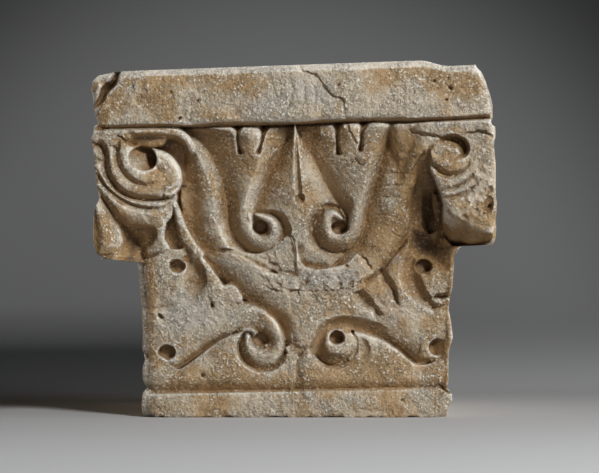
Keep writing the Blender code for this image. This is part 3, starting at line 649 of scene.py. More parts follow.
def carve_worn_volute(face):
    """Volute of the right end, worn flat: a deep hollow under it, a rolled strip above its eye."""
    def belly(u, v):
        """Broken underside: below its lip it falls back by 1.4 for each millimetre down."""
        lip = np.interp(u, [112, 116, 120, 124, 131, 138, 143, 150, 158],
                        [184, 168, 164, 161.5, 158.5, 152, 149.8, 148.3, 147.3])
        return horn(u, v) - 5.0 - 1.4 * np.clip(lip - v, 0.0, 22.0)

    def ramp(u, v):
        """Slope behind the curl: the bell, cut back by 20 mm as it climbs from 112 to 142 mm."""
        return np.maximum(bell(u, v) - 20.0 * smooth(112.0, 142.0, v), diagonal(u))

    def throat(u, v):
        """Inner flank under the eye: it falls back by nearly as much as it drops below v = 213."""
        return horn(u, v) - 6.0 - 0.95 * np.clip(213.0 - v, 0.0, 36.0)

    def pocket(u, v):
        """Deepest ground beside the stem, 25 mm below the bell."""
        return np.maximum(bell(u, v) - 25.0, diagonal(u))

    # Slope down to the curl, the curl again, the deep hollow beside the stem and its flank.
    face.cell([(89, 154), (89, 140), (90, 128), (97, 117), (110, 112), (134, 112), (138, 141),
               (118, 146), (104, 152)], ramp, 9, 0, 9, power=1.3, only="cut")
    face.drill((100.5, 122.5), (7, 6), 18, ground=bell, wall=1.8)
    face.cell([(87, 178), (88.5, 194), (93.5, 206), (101, 214), (114, 206), (124, 168), (134, 158),
               (126, 146), (118, 138), (104, 134), (94, 139), (87.5, 156)], pocket, 25, 0, 15,
              power=0.5, only="cut")
    face.cell([(89, 205), (97, 213), (103, 217), (110, 215), (114, 195), (113.5, 181), (104, 178),
               (95, 184), (90, 195)], throat, -3, 0, 6, only="fill")
    # Broken underside, the worn front, the end of the stem and the rolled strip above.
    face.cell([(115, 160), (118, 147), (123, 141), (130, 139.3), (175, 139), (175, 153), (150, 151),
               (140, 155), (131, 162), (122, 168), (116, 174)], belly, -7, 0, 6)
    face.cell([(112, 242), (175, 242), (175, 147), (158, 147.3), (150, 148.3), (143, 149.8), (138, 152),
               (131, 158.5), (124, 161.8), (119, 166), (115.5, 173), (113, 181), (108.5, 192),
               (104.5, 201), (103, 212), (105, 219), (108, 226)], horn, -6, -0.8, 5, power=2.4)
    face.cell([(76, 246), (124, 246), (119, 225), (108, 217), (101, 214.5), (96.5, 211), (92, 204),
               (86, 202), (78, 204), (74, 215)], crest, -7, -0.6, 9, only="fill")
    face.cell([(88.5, 231), (93, 236), (100, 239.5), (130, 241), (175, 242), (175, 229.5), (153, 227),
               (148, 229.5), (143, 231), (137, 230), (130, 228.8), (122, 228.3), (113, 226.3),
               (105, 227.8), (97, 228.5), (92, 229.6)], crest, -0.8, 1.0, 3.5)
    # Ragged lower edge of the strip.
    face.groove([(88.5, 232), (91, 230), (95, 229.6), (97.5, 228), (101, 227.2), (103, 228),
                 (107, 226.8), (110, 227.3), (113, 225.5)], 0.8, [2, 3, 2, 3, 2.4])
    face.groove([(130, 228), (134, 229.9), (138, 229.3), (143, 230.8), (146, 229.6), (149, 229.4),
                 (155, 226.3)], 0.8, [1.5, 2.5, 2, 3, 3])
    # Rim and hollow of the eye, then the three turns of the roll.
    face.groove([(104.3, 216), (106.3, 210.5), (111, 206.5), (118, 204.6), (126, 205.8), (132, 210)],
                [2.5, 3.5, 3.5, 3.5, 3, 2], [-1.8, -1.8, -1.5, -1.2, -1, -0.5], power=1.5)
    face.cove([(126.5, 209.5), (131.5, 212), (133.6, 218), (130.5, 223.6), (123, 226.4), (116, 225.4),
               (110, 221.5)], [5, 9, 11.5, 12, 11.5, 9, 5], [2, 9, 13, 14, 12, 7, 2], power=1.2, wall=2.5)
    face.groove([(105, 206), (109, 201.5), (112.5, 198.5), (117, 196.3), (122, 195.8), (127, 197.2),
                 (131, 200), (134.5, 204), (136, 209)],
                [2, 3.5, 4, 4, 4, 3.5, 3, 2, 1], [1.5, 5, 6.5, 6.5, 6, 5, 3, 2, 0.5], power=0.65)
    face.groove([(111, 183), (118, 184.5), (124, 186), (130, 189), (134, 192), (138, 196),
                 (141, 199.5)], [3, 3.6, 3.6, 3.4, 3, 2.2, 1], [6, 5.5, 5, 4.5, 4, 2.5, 0.5], power=0.65)
    face.groove([(114, 178.5), (119, 178.3), (125, 178.8), (131, 181.3), (136, 184.6), (140.5, 188),
                 (145, 193)], [3, 3.4, 3.4, 3.2, 2.8, 2.2, 1], [5, 5, 5, 4.5, 3.5, 2.5, 0.5], power=0.65)
    # What is left of the lower edge, and holes in the worn front.
    face.swell((119, 144), (4.5, 3), 5)
    face.drill((131.8, 162.5), (3.4, 2.4), 2.5, turn=-30)
    face.drill((150.5, 171.5), (4.2, 7.5), 2.5, turn=-15, wall=2.5)
    face.drill((151.5, 184), (2.2, 5), 2, turn=-20, wall=1.5)


def carve_slab(face, front, lean=0.0):
    """Abacus: a plane that leans in by 12 in 1000. It is set back 2.2 mm at its lower edge, 3.5 mm
    more over a bevel between the volutes, and 6.5 mm at the top arris, which is round. Lean sets
    back its top by that many millimetres. A drawn line 5 mm deep parts it from the body, waves by
    0.4 mm and climbs by 27 in 1000 on the best face."""
    u, v = face.u, face.v
    above = v - SLAB_BOTTOM - (0.027 if front else 0.0) * u - 0.4 * np.sin(u / 23.0)
    slab = SLAB_HALF + 0.5 - 0.012 * above
    slab = slab - 2.2 * smooth(4.5, 0, above)
    slab = slab - 3.5 * smooth(6.5, 0, above) * smooth(-92, -80, u) * smooth(90, 76, u)
    slab = slab - 6.5 * np.clip((v - face.top + 6.0) / 6.0, 0.0, 1.0) ** 1.8
    slab = slab - lean * np.clip((v - 248.0) / 36.0, 0.0, 1.0) ** 1.6
    mask = smooth(-0.6, 0.9, above)
    face.w = face.w * (1 - mask) + slab * mask - 5.0 * np.exp(-(above / 1.2) ** 2)


def carve_damage(face):
    """Crevice and rough stump at the left end of the abacus, then scars, pits, scratches, cracks."""
    face.groove([(-143, 282), (-147, 276), (-150, 270), (-156, 264), (-159, 257), (-164, 250), (-164, 242)],
                [2.5, 3.5, 4, 4, 3.5, 3, 2.5], [8, 18, 22, 20, 14, 9, 4], power=1.1)
    face.scar((-158, 271), (10, 7), 5.0, 6, 63)
    for centre, radii, amount, size in SCARS:
        face.scar(centre, radii, amount, size, 57)
    for centre, radius in PITS:
        face.drill(centre, (radius, 0.6 * radius), 1.8 * radius, turn=37.0 * centre[0], wall=0.8)
    for number, (path, half, depth) in enumerate(CRACKS):
        face.groove(jagged(path, 0.7, number), half, depth)


def carve_foot(face, front):
    """Foot band: 1.2 mm of belly over its height, parted from the mounds by a drawn line."""
    above = face.v - FOOT_BAND - (0.02 if front else 0.0) * (face.u - MIDDLE)
    foot = BODY_HALF + 0.6 - 1.2 * ((face.v - 10.0) / 10.0) ** 2
    mask = smooth(0.8, -0.5, above)
    face.w = face.w * (1 - mask) + foot * mask - 0.6 * np.exp(-(above / 1.0) ** 2)


def carve_ornament(face, left, right):
    """Both halves of a face, form by form from the ground up, then the relief stretched and two
    grounds filled in again: at the joint of the mounds and at the left pit."""
    carve_middle(face)
    for d in (left, right):
        carve_stem(face, d)
    carve_cone(face, left, -1)
    carve_cone(face, right, 1)
    carve_lance(face)
    carve_scroll(face, left, -1)
    carve_scroll(face, right, 1)
    for d in (left, right):
        carve_leaf(face, d)
    for d in (left, right):
        carve_mound(face, d)
    for d in (left, right):
        carve_ring(face, d)
    face.deepen(DEEPER)
    face.cell([(-12, 56), (-4, 60), (5, 57), (3, 50), (-8, 50)], bell, -4.5, -4, 3, only="fill")
    face.cell([(-122, 50), (-113, 50), (-106, 44), (-110, 42), (-122, 45)], bell, -2.8, -2.4, 2,
              only="fill")


def carve_front(face):
    """Best face: the two drawings, its own volutes, and what is broken or cracked on it."""
    carve_ornament(face, LEFT, RIGHT)
    carve_volute(face, -1)
    carve_worn_volute(face)
    carve_breaks(face)


def carve_breaks(face):
    """Broken meeting of the stems: the hollow at its top, a left plate with a raised right edge, a
    right plate, thin flakes between them, and the rough ground below."""
    face.cove([(-1.8, 140), (-0.5, 132), (3.5, 124), (11, 119.8), (24, 121)],
              [5, 13, 16, 14, 5], [2, 5, 6, 5, 1], power=1.5, wall=1.0)
    face.swell((3.5, 113), (5, 10), -4)
    face.cell([(-68, 134), (-60, 137), (-42, 133.5), (-33, 133), (-25, 136), (-17, 142), (-11, 147),
               (-6, 147), (-3, 138), (-2.5, 124), (-2, 114), (-13, 117.5), (-25, 119.5), (-33, 122.5),
               (-38, 126.5), (-46, 130.5), (-55, 133)], bell, -6.0, -4.6, 5)
    face.groove([(-8, 149), (-4.5, 141), (-3, 131), (-2.3, 117)],
                [1.5, 2.4, 2.4, 1.5], [-1, -2.4, -2.4, -1.5], power=1.5)
    face.cell([(11, 119), (24, 121.5), (38, 125), (46, 132.8), (51, 130.5), (57.5, 121), (60, 117),
               (48, 108.5), (39, 105.5), (26, 104), (9, 103.5), (5, 110)], bell, -2.2, 0.5, 5, only="fill")
    face.cell([(0, 98), (20, 98.5), (40, 100), (52, 105), (50, 111), (30, 109), (3, 107)], bell, -1.2,
              -0.2, 4, only="fill")
    face.cell([(-50, 131.5), (-44, 129), (-39, 126), (-34, 121), (-30, 119), (-22, 117.5), (-15, 116),
               (-9, 114), (-3, 114.5), (-0.5, 110), (-1, 103.5), (-12, 103), (-20, 103.5), (-27, 106),
               (-33, 113), (-42, 121)], bell, -2.0, 0.6, 4, only="fill")
    face.cell([(-2, 121), (8, 121.5), (14, 118), (14, 102), (4, 99), (-2, 101)], bell, -4, -2.4, 4,
              only="fill")
    face.cell([(-14, 104), (-6, 105), (4, 105), (12, 104), (18, 90), (16, 72), (8, 58), (0, 57),
               (-7, 62), (-11, 75), (-13, 88)], bell, -6, -0.4, 10, only="fill")


SCARS = [  # centre, radii, noise amount and size
    ((-155, 225), (9, 6), 2.2, 5), ((-111, 196), (10, 14), 2.4, 3.5), ((-116, 163), (12, 6), 2.6, 5),
    ((-158, 155), (7, 18), 1.8, 6),
    ((-108, 108), (14, 16), 1.8, 4.5), ((-90, 80), (34, 16), 1.0, 5), ((32, 112), (26, 8), 3.0, 4.5),
    ((-20, 112), (20, 8), 2.6, 4.5), ((-20, 126), (16, 8), 1.6, 4),
    ((20, 94), (22, 7), 2.2, 6), ((145, 180), (12, 30), 2.2, 4), ((128, 170), (12, 8), 2.0, 4),
    ((150, 234), (10, 5), 2.2, 4), ((120, 210), (14, 12), 1.4, 4),
    ((116, 106), (9, 8), 2.4, 4.5), ((116, 92), (9, 6), 2.6, 5), ((31, 50), (9, 5), 1.6, 4),
    ((-31, 50), (9, 5), 1.8, 4), ((-116, 82), (6, 8), 2.2, 5),
    ((14, 229), (9, 5), 1.6, 4), ((66, 234), (14, 4), 1.6, 4), ((80, 205), (16, 30), 1.0, 5),
    ((-128, 260), (12, 14), 1.6, 5),
    ((-90, 240), (8, 5), 2.4, 5), ((120, 20), (8, 10), 3.0, 6), ((-120, 8), (8, 8), 2.4, 6),
    ((70, 100), (10, 14), 1.4, 6), ((0, 4), (110, 4), 1.6, 6),
]
PITS = [    # centre and radius
    ((-15.5, 65), 1.0), ((-15, 59), 1.0), ((7.5, 64), 1.2), ((-79, 34), 1.6), ((38, 123), 1.6),
    ((107.6, 271), 1.6), ((118.8, 273.6), 1.2),
    ((120.4, 265.6), 2.0), ((-71, 91), 1.8), ((83, 14), 1.6), ((-113, 82), 2.4), ((117, 256), 1.4),
    ((31, 268), 1.4), ((-96, 241), 2.0),
    ((-103, 262), 1.4), ((-82, 255), 1.4), ((152, 171), 2.4), ((147, 165), 1.6),
]
CRACKS = [  # path, half width and depth
    ([(-101, 59.5), (-94, 59.8), (-87, 59.4)], 0.8, 0.8),
    ([(-12, 61), (-6, 61.3), (1, 61)], 1.0, 1.2),
    ([(63, 187), (75, 188), (88, 187)], 0.9, 0.8),
    ([(64, 197), (78, 197.5), (90, 197)], 0.9, 0.8),
    ([(60, 178), (72, 178.6), (81, 178)], 0.9, 0.8),
    ([(62, 163), (71, 163.5), (80, 162)], 0.9, 0.6),
    ([(-16, 271), (-15, 260), (-16, 250)], 0.9, 0.7),
    ([(-7, 273), (-6, 262), (-8, 252)], 0.9, 0.7),
    ([(3, 270), (4, 258), (2, 249)], 0.9, 0.7),
    ([(12, 268), (13, 257), (11, 248)], 0.9, 0.7),
    ([(0, 284), (2.5, 279.5), (8.5, 277), (14, 274.5), (17, 270), (21, 264.5), (25, 260), (31, 257.5),
      (35, 254), (36.5, 246), (37.5, 240), (40, 232), (46, 221)],
     0.9, [1.5, 2.2, 1.6, 2.2, 2.0, 1.4, 1.5, 1.2]),
    ([(30, 200), (37, 203), (42, 207), (45, 208.5), (48, 205), (50, 203.5)], 0.8, 1.3),
    ([(50, 219), (57, 222.5), (62, 223.5), (68, 222.5)], 0.9, [2, 1.6, 1.2, 0.5]),
    ([(-146, 227.5), (-141, 224), (-137, 221.5), (-132, 219.5)], 1.1, [2, 3, 3, 2]),
    ([(-152, 219), (-148, 218), (-145, 215.5)], 1.0, 2.5),
    ([(-24, 129.5), (-24.2, 126.5), (-21.5, 124), (-17, 122.8)], 0.9, [0.6, 1.8, 1.8, 0.6]),
    ([(-27, 106), (-22, 103.6), (-16, 102.2), (-11, 101.9), (-7, 102)], 0.8, [0.6, 1.8, 1.8, 1.0, 0.2]),
    ([(0, 102), (9, 102.6), (13, 101.9), (20, 103.2), (26, 102.8), (33, 104.4), (39, 104.8),
      (48, 107.4), (53, 110), (58, 113), (64, 116.5), (70, 123)],
     0.9, [0.8, 1.8, 1.4, 1.9, 1.5, 1.7, 1.1, 1.5, 1.2, 1.6, 1.2, 0.5]),
    ([(73, 107), (76.5, 102), (78, 96), (80.5, 91)], [0.8, 1.6, 1.8, 0.8], [1.5, 4, 4, 1.5]),
    ([(62.5, 84.3), (65, 83.2)], 3.4, 4.5),
    ([(45, 133), (50, 131), (54.5, 126.5), (57.5, 121)], 1.0, [1, 2.5, 2.5, 2]),
    ([(106, 97), (111, 98), (117, 97.5), (124, 98.5)], [1, 2, 2, 1.5], [3, 5, 5, 4]),
    ([(108, 88.5), (114, 89.5), (123, 91)], 1.2, 2),
    ([(73, 150), (77, 148), (81, 146)], 0.8, 1),
    ([(82, 102), (88, 101)], 0.8, 1.2),
    ([(-88, 239), (-87, 247), (-86.5, 256)], 0.9, [1.5, 1, 0.3]),
    ([(113, 27), (117, 23), (121, 20), (127, 19)], [1, 1.6, 1.8, 2], [2, 4, 5, 5]),
]


def carve_plain(face):
    """Side or back face: the left drawing and its mirror image, whole, with a volute at each end."""
    carve_ornament(face, LEFT, mirrored(LEFT))
    carve_volute(face, -1)
    carve_volute(face, 1)


# Ovals above 0 are warm stains, and many are painted shade under the volutes, above the foot band and on
# the left corner; ovals below 0 are ashen patches.
STAINS_AND_SHADE = [  # centre, radii and amount
    ((-114, 196), (9, 8), 1.2), ((106, 126), (16, 12), 2.4), ((-160, 145), (6, 18), 1.6),
    ((-136, 138), (5.5, 10), 5.0), ((-138, 132), (6, 4.5), 4.5), ((100, 140), (14, 16), 4.0),
    ((98, 210), (7, 9), 1.4), ((88, 172), (6, 38), 2.2), ((-120, 224), (18, 5), 7.0),
    ((122, 134), (8, 6), 2.4), ((134, 145), (22, 5), 2.0), ((-152, 132), (10, 5), 1.4),
    ((72, 150), (12, 16), 0.5),
    ((-122, 95), (4, 36), 1.6), ((-158, 245), (5, 14), 2.0), ((-126, 150), (12, 6), 1.4),
    ((-60, 26), (60, 3), 1.0), ((58, 28), (58, 3), 1.2), ((98, 166), (10, 30), 3.0),
    ((132, 266), (13, 5), 1.3), ((-45, 268), (22, 9), 0.9), ((-105, 273), (18, 6), 0.8),
    ((-146, 254), (9, 12), 0.8),
    ((70, 272), (16, 10), 0.7), ((-92, 84), (30, 16), -0.9), ((-50, 84), (12, 8), -0.7),
    ((28, 112), (24, 8), -1.0),
    ((0, 264), (34, 14), -0.8), ((-20, 118), (16, 8), -0.8), ((-8, 140), (14, 8), -0.6),
    ((-60, 32), (60, 9), 0.8),
    ((118, 92), (8, 4), 1.0), ((56, 105), (10, 12), 0.5), ((78, 222), (14, 16), 0.4),
    ((150, 172), (5, 9), 1.0),
    ((-118, 160), (10, 8), 0.6), ((60, 40), (40, 8), 0.4), ((-100, 10), (30, 8), 0.4),
    ((120, 250), (26, 12), -0.5),
    ((110, 236), (36, 4), -0.6), ((-120, 226), (36, 5), -0.4), ((-104, 200), (8, 14), -0.3),
    ((-155, 155), (6, 16), 0.5),
]


# ---- corners and the closed block --------------------------------------------------------------
# Each corner profile runs from foot to top: (reach along X, reach along Y, height).
FRONT_LEFT = [(115, 115, 0), (118, 118, 4), (119.5, 119.5, 10), (119, 119, 18), (116.5, 117, 23),
              (118.5, 119, 30), (117.5, 118, 45), (120, 120, 55), (119.5, 120, 90), (122, 121, 115),
              (122.5, 122, 125), (127, 127, 126), (137, 138, 127), (146, 148, 128), (153, 153, 129.5),
              (158, 157, 133), (160, 158, 140), (160.5, 158.5, 155), (160, 158.5, 168), (157, 157, 176),
              (156.5, 157, 182), (158, 157.5, 190), (159.5, 158, 200), (160.5, 158, 212),
              (162.5, 158.5, 226), (160, 158, 230.5), (157, 157, 233), (157, 157, 238), (160, 152, 244),
              (161.5, 148, 256), (162.5, 149, 262), (163, 155, 265), (161.5, 156, 271), (157, 154, 277)]
FRONT_RIGHT = [(117, 115, 0), (121, 118, 3), (125, 120, 8), (128, 121, 14), (128, 121, 18),
               (124, 118, 24), (125, 120, 30), (125, 120, 45), (125.5, 121, 55), (128.5, 122, 65),
               (127.5, 121, 75), (125, 120, 88), (126, 121, 97), (128, 122, 105), (129, 123, 120),
               (129.5, 124, 137), (135, 131, 139), (145, 142, 139.5), (153, 151, 140),
               (157, 154, 142.5), (159, 156, 147), (160.5, 157, 155), (161.5, 158, 165),
               (162, 158, 173), (161, 158, 180), (161, 158, 205), (160, 158, 215), (159, 157, 233),
               (157.5, 157, 238.5), (156.5, 156.5, 243), (156, 156, 255), (154.5, 155, 264),
               (150, 153, 275), (145, 150, 283)]
BACK = [(116, 116, 0), (120, 120, 5), (121, 121, 17), (118, 118, 23), (120, 120, 30), (121, 121, 60),
        (122, 122, 100), (123, 123, 126), (132, 132, 128), (145, 145, 129), (154, 154, 131),
        (158, 158, 138), (160, 160, 155), (159, 159, 174), (160, 160, 195), (161, 161, 215),
        (160, 160, 228), (157, 157, 234), (157, 157, 240), (157, 157, 262), (155, 155, 281)]
BACK_RIGHT = ([(x, y, z + 10.5 if z > 125.0 else z) for x, y, z in BACK if z < 140.0] + BACK[12:-2]
              + [(155, 155, 255), (148, 152, 270), (143, 150, 281)])
CORNERS = {(-1, -1): FRONT_LEFT, (1, -1): FRONT_RIGHT, (1, 1): BACK_RIGHT, (-1, 1): BACK}
SIDES = [   # corners at the left and right end of each face, as seen from outside, and its quarter turn
    ((-1, -1), (1, -1)),
    ((1, -1), (1, 1)),
    ((1, 1), (-1, 1)),
    ((-1, 1), (-1, -1)),
]


def corner_at(corner, t):
    """Reach along X, reach along Y and height of a corner at share t of its run. The run counts
    climb in full and sideways travel by half, so that an overhang's underside gets rows too."""
    profile = np.array(CORNERS[corner], float)
    profile[-1, 2] = bed(corner[0] * profile[-1, 0], corner[1] * profile[-1, 1])
    steps = np.hypot(np.diff(profile[:, 2]), 0.5 * np.diff(profile[:, 0]))
    run = np.concatenate([[0.0], np.cumsum(steps)])
    return [np.interp(t * run[-1], run, profile[:, axis]) for axis in range(3)]


def face_grid(index, rows, columns):
    """Points of one face, as arrays with one row for each height. Column 0 is on its left corner.
    The rows follow the two corner profiles, the top quarter of them eased onto the bed, and the
    lowest edge is chipped by up to 2.5 mm. Rounding each corner is a quarter circle over ARRIS."""
    t = np.linspace(0.0, 1.0, rows)[:, None]
    share = np.linspace(0.0, 1.0, columns)[None, :]
    left, right = SIDES[index]
    lx, ly, lz = corner_at(left, t)
    rx, ry, rz = corner_at(right, t)
    along_x = index % 2 == 0
    near_left, far_left = (lx, ly) if along_x else (ly, lx)
    near_right, far_right = (rx, ry) if along_x else (ry, rx)
    centred = -near_left * (1 - share) + near_right * share
    v = lz * (1 - share) + rz * share
    edge_x, edge_y = turned(index, centred[-1], VOLUTE_HALF)
    v = v + (bed(edge_x, edge_y) - v[-1]) * smooth(0.75, 1.0, t)
    v = v + 5.0 * np.clip(rough(centred / 9.0, v[0], 1.0, 71 + index), 0.0, 0.5) * smooth(0.03, 0.0, t)
    u = centred + MIDDLE
    face = Face(u, v)
    face.top = np.broadcast_to(v[-1], v.shape).ravel()
    if index == 0:
        carve_front(face)
    else:
        carve_plain(face)
    carve_foot(face, index == 0)
    carve_slab(face, index == 0, 11.0 if index == 1 else 0.0)
    if index == 0:
        carve_damage(face)
    weather(face, index)
    w = face.w.reshape(u.shape)
    if index > 0:
        w = keep_apart(index, centred, v, w, far_left, far_right)
    relief = w
    for reach, other, toward in ((near_left, far_left, -centred), (near_right, far_right, centred)):
        x = np.clip((reach - toward) / ARRIS, 0.0, 1.0)
        round_off = np.sqrt(1.0 - (1.0 - x) ** 2)
        w = np.where(x < 1.0, other + (w - other) * round_off, w)
    return centred, v, w, relief


def keep_apart(index, centred, v, w, far_left, far_right):
    """Keeps stone between the hollows of two faces that share a corner: between body and slab, a
    side face stands no lower than the corner's diagonal plus that much stone, as far as the corner
    itself comes out."""
    beside_best = np.where(centred < 0.0, index == 1, index == 3)
    reach = np.where(centred < 0.0, far_left, far_right)
    stone = np.where(beside_best, BEST_CORNER_STONE, CORNER_STONE)
    wall = np.minimum(np.abs(centred) + stone, reach - 1.5)
    wall = wall - 30.0 * (smooth(129.0, 126.0, v) + smooth(SLAB_BOTTOM - 5.0, SLAB_BOTTOM, v))
    return np.maximum(w, wall)


def weather(face, index):
    """Uneven, worn surface: broad swells of half a millimetre and a fine tooth of a tenth."""
    u, v = face.u + 400.0 * index, face.v
    face.w += 0.9 * rough(u, v, 34.0, 11) + 0.5 * rough(u, v, 9.0, 21) + 0.25 * rough(u, v, 3.0, 31, 2)


def painted_flank_shade(w, v, cell):
    """Millimetres of extra patina that paint shade on flanks facing left or down, away from the key light:
    6 times what their slope has over 0.1, and at most 4.8."""
    climb_v, climb_u = np.gradient(w)
    rows_apart = np.gradient(v, axis=0)
    return 6.0 * np.clip(0.9 * climb_u / cell + 0.5 * climb_v / rows_apart - 0.1, 0.0, 0.8)


def stain_and_shade_of(u, v, index):
    """Warm stains and painted shade (above 0) and ashen patches (below 0): soft ovals on the front, else
    nothing.
    """
    stain_shade_tint = np.zeros(u.shape)
    if index == 0:
        for (cu, cv), (ru, rv), amount in STAINS_AND_SHADE:
            stain_shade_tint += amount * np.exp(-((u - cu) / ru) ** 2 - ((v - cv) / rv) ** 2)
    return stain_shade_tint


def turned(index, u, w):
    """World x and y of a point u across and w out on a face."""
    return [(u, -w), (w, u), (-u, w), (-w, -u)][index]


def blurred(field, size):
    """Box blur over size cells, run twice along rows and columns."""
    kernel = np.ones(size) / size
    for _ in range(2):
        for axis in (0, 1):
            pad = [(0, 0), (0, 0)]
            pad[axis] = (size // 2, size // 2)
            wide = np.cumsum(np.pad(field, pad, mode="edge"), axis=axis)
            zero = np.zeros_like(np.take(wide, [0], axis=axis))
            wide = np.concatenate([zero, wide], axis=axis)
            n = field.shape[axis]
            hi = np.take(wide, np.arange(size, size + n), axis=axis)
            lo = np.take(wide, np.arange(0, n), axis=axis)
            field = (hi - lo) / size
    return field


def around_mean(line, reach):
    """Running mean of a closed line of points over reach points on both sides."""
    wide = np.concatenate([line[-reach:], line, line[:reach]])
    total = np.concatenate([0.0 * wide[:1], np.cumsum(wide, axis=0)])
    size = 2 * reach + 1
    return (total[size:] - total[:-size]) / size


ROW_RUN = 300.0           # mm of height and overhang that the rows share out
COLUMN_RUN = 324.0        # mm of width that the columns share out
CAP_RINGS = 24            # rings of points in each bed
EVEN_REACH = 70.0         # mm of outline to each side over which the upper bed's rings are evened
HOLLOW_SIZES = (22.0, 8.0)    # mm over which broad and close hollows are told from high ground
MOST_STAIN_AND_SHADE = 14.0         # stain or painted shade above which the patina gets no darker


def build_block(front_cell, side_cell):
    """Ring of four faces closed by two beds, and the shades of each point. Hollow is how far a point lies
    below the ground round it, for patina, with painted shade added on flanks facing away from the light and
    the front's stains and painted shade. Worn is how far it stands above the 3 mm round it, with the
    arrises added: wear that is also painted pale as highlight. Stone under stain or painted shade is not
    rubbed bare. The upper bed's rings run from the outline to its running mean within a few steps, and then
    to the centre."""
    rows = int(round(ROW_RUN / front_cell))
    points, hollow_and_shade_rows, edges, stain_and_shade_rows = [], [], [], []
    for index in range(4):
        cell = front_cell if index == 0 else side_cell
        columns = int(round(COLUMN_RUN / cell))
        u, v, w, relief = face_grid(index, rows, columns)
        x, y = turned(index, u, w)
        points.append(np.stack([x, y, v], -1)[:, :-1])
        broad, close = (blurred(relief, int(size / cell) | 1) - relief for size in HOLLOW_SIZES)
        stain_and_shade = stain_and_shade_of(u + MIDDLE, v, index)
        # Patina by hollowness, plus painted shade on flanks facing away from the light, plus the front's
        # stains and painted shade.
        hollow = 0.45 * broad + 0.45 * close + painted_flank_shade(relief, v, cell)
        hollow = hollow + 1.2 * np.clip(stain_and_shade, 0.0, MOST_STAIN_AND_SHADE)
        hollow_and_shade_rows.append((hollow * smooth(0.0, 8.0, v[-1] - v))[:, :-1])
        # Worn edges: wear on ridges, on the top arris and on the rounded corners, painted pale also as
        # highlight; none under stain or painted shade.
        arris = 4.0 * smooth(7.0, 0.0, v[-1] - v) + 0.6 * smooth(0.5, 2.5, relief - w)
        worn_and_highlight = (relief - blurred(relief, int(3.0 / cell) | 1)) * smooth(1.4, 0.3, stain_and_shade)
        edges.append((worn_and_highlight + arris)[:, :-1])
        stain_and_shade_rows.append(stain_and_shade[:, :-1])
    ring = np.concatenate(points, axis=1)
    hollow = np.concatenate(hollow_and_shade_rows, axis=1)
    shades = [hollow, np.concatenate(edges, axis=1), np.concatenate(stain_and_shade_rows, axis=1)]
    shares = (np.linspace(1.0, 0.0, CAP_RINGS, endpoint=False)[1:])[:, None, None]
    lower = ring[0] * np.array([1.0, 1.0, 0.0])
    low_cap = lower[None] * shares
    upper = ring[-1]
    even = around_mean(upper, int(round(EVEN_REACH / side_cell)))
    up_cap = even[None] * shares + (upper - even)[None] * shares ** 14
    up_cap[..., 2] = bed(up_cap[..., 0], up_cap[..., 1])
    return ring, low_cap, up_cap, shades


SHADES = ("hollow", "worn_and_highlight", "stain_shade_tint")    # names of the attributes, in the order of build_block


def make_mesh(name, ring, low_cap, up_cap, shades):
    """Closed mesh of the ring and its caps, with a value of each shade at every point. Rows are
    joined by quads, and the middle of each bed is a fan of triangles."""
    around = ring.shape[1]
    sheet = np.concatenate([low_cap[::-1], ring, up_cap], axis=0)
    beds = [(len(low_cap), len(up_cap)), (0, 0)]
    shades = [np.pad(shade, beds) for shade in shades]
    total = sheet.shape[0]
    places = sheet.reshape(-1, 3)
    bottom = np.array([[0.0, 0.0, 0.0]])
    top = np.array([[0.0, 0.0, BED_LEVEL]])
    places = np.concatenate([places, bottom, top]) * MM
    i = np.arange(total - 1)[:, None] * around
    j = np.arange(around)[None, :]
    k = (j + 1) % around
    quads = np.stack([i + j, i + k, i + around + k, i + around + j], -1).reshape(-1, 4)
    j, k = j[0], k[0]
    last = (total - 1) * around
    n = total * around
    low_fan = np.stack([np.full(around, n), k, j], -1)
    up_fan = np.stack([np.full(around, n + 1), last + j, last + k], -1)
    corners = np.concatenate([quads.ravel(), low_fan.ravel(), up_fan.ravel()])
    sizes = np.concatenate([np.full(len(quads), 4), np.full(2 * around, 3)])
    mesh = bpy.data.meshes.new(name)
    mesh.vertices.add(len(places))
    mesh.vertices.foreach_set("co", places.astype(np.float32).ravel())
    mesh.loops.add(len(corners))
    mesh.loops.foreach_set("vertex_index", corners.astype(np.int32))
    mesh.polygons.add(len(sizes))
    mesh.polygons.foreach_set("loop_start", np.concatenate([[0], np.cumsum(sizes)[:-1]]).astype(np.int32))
    mesh.update(calc_edges=True)
    for label, values in zip(SHADES, shades):
        layer = mesh.attributes.new(label, "FLOAT", "POINT")
        layer.data.foreach_set("value", np.append(values.ravel(), [0.0, 0.0]).astype(np.float32))
    return mesh


def thin_out(piece, triangles):
    """Collapse the least needed edges until the piece has about that many triangles."""
    faces = sum(len(p.vertices) - 2 for p in piece.data.polygons)
    thin = piece.modifiers.new("Thin out", "DECIMATE")
    thin.ratio = triangles / faces
    depsgraph = bpy.context.evaluated_depsgraph_get()
    mesh = bpy.data.meshes.new_from_object(piece.evaluated_get(depsgraph), depsgraph=depsgraph)
    piece.modifiers.clear()
    old = piece.data
    piece.data = mesh
    bpy.data.meshes.remove(old)


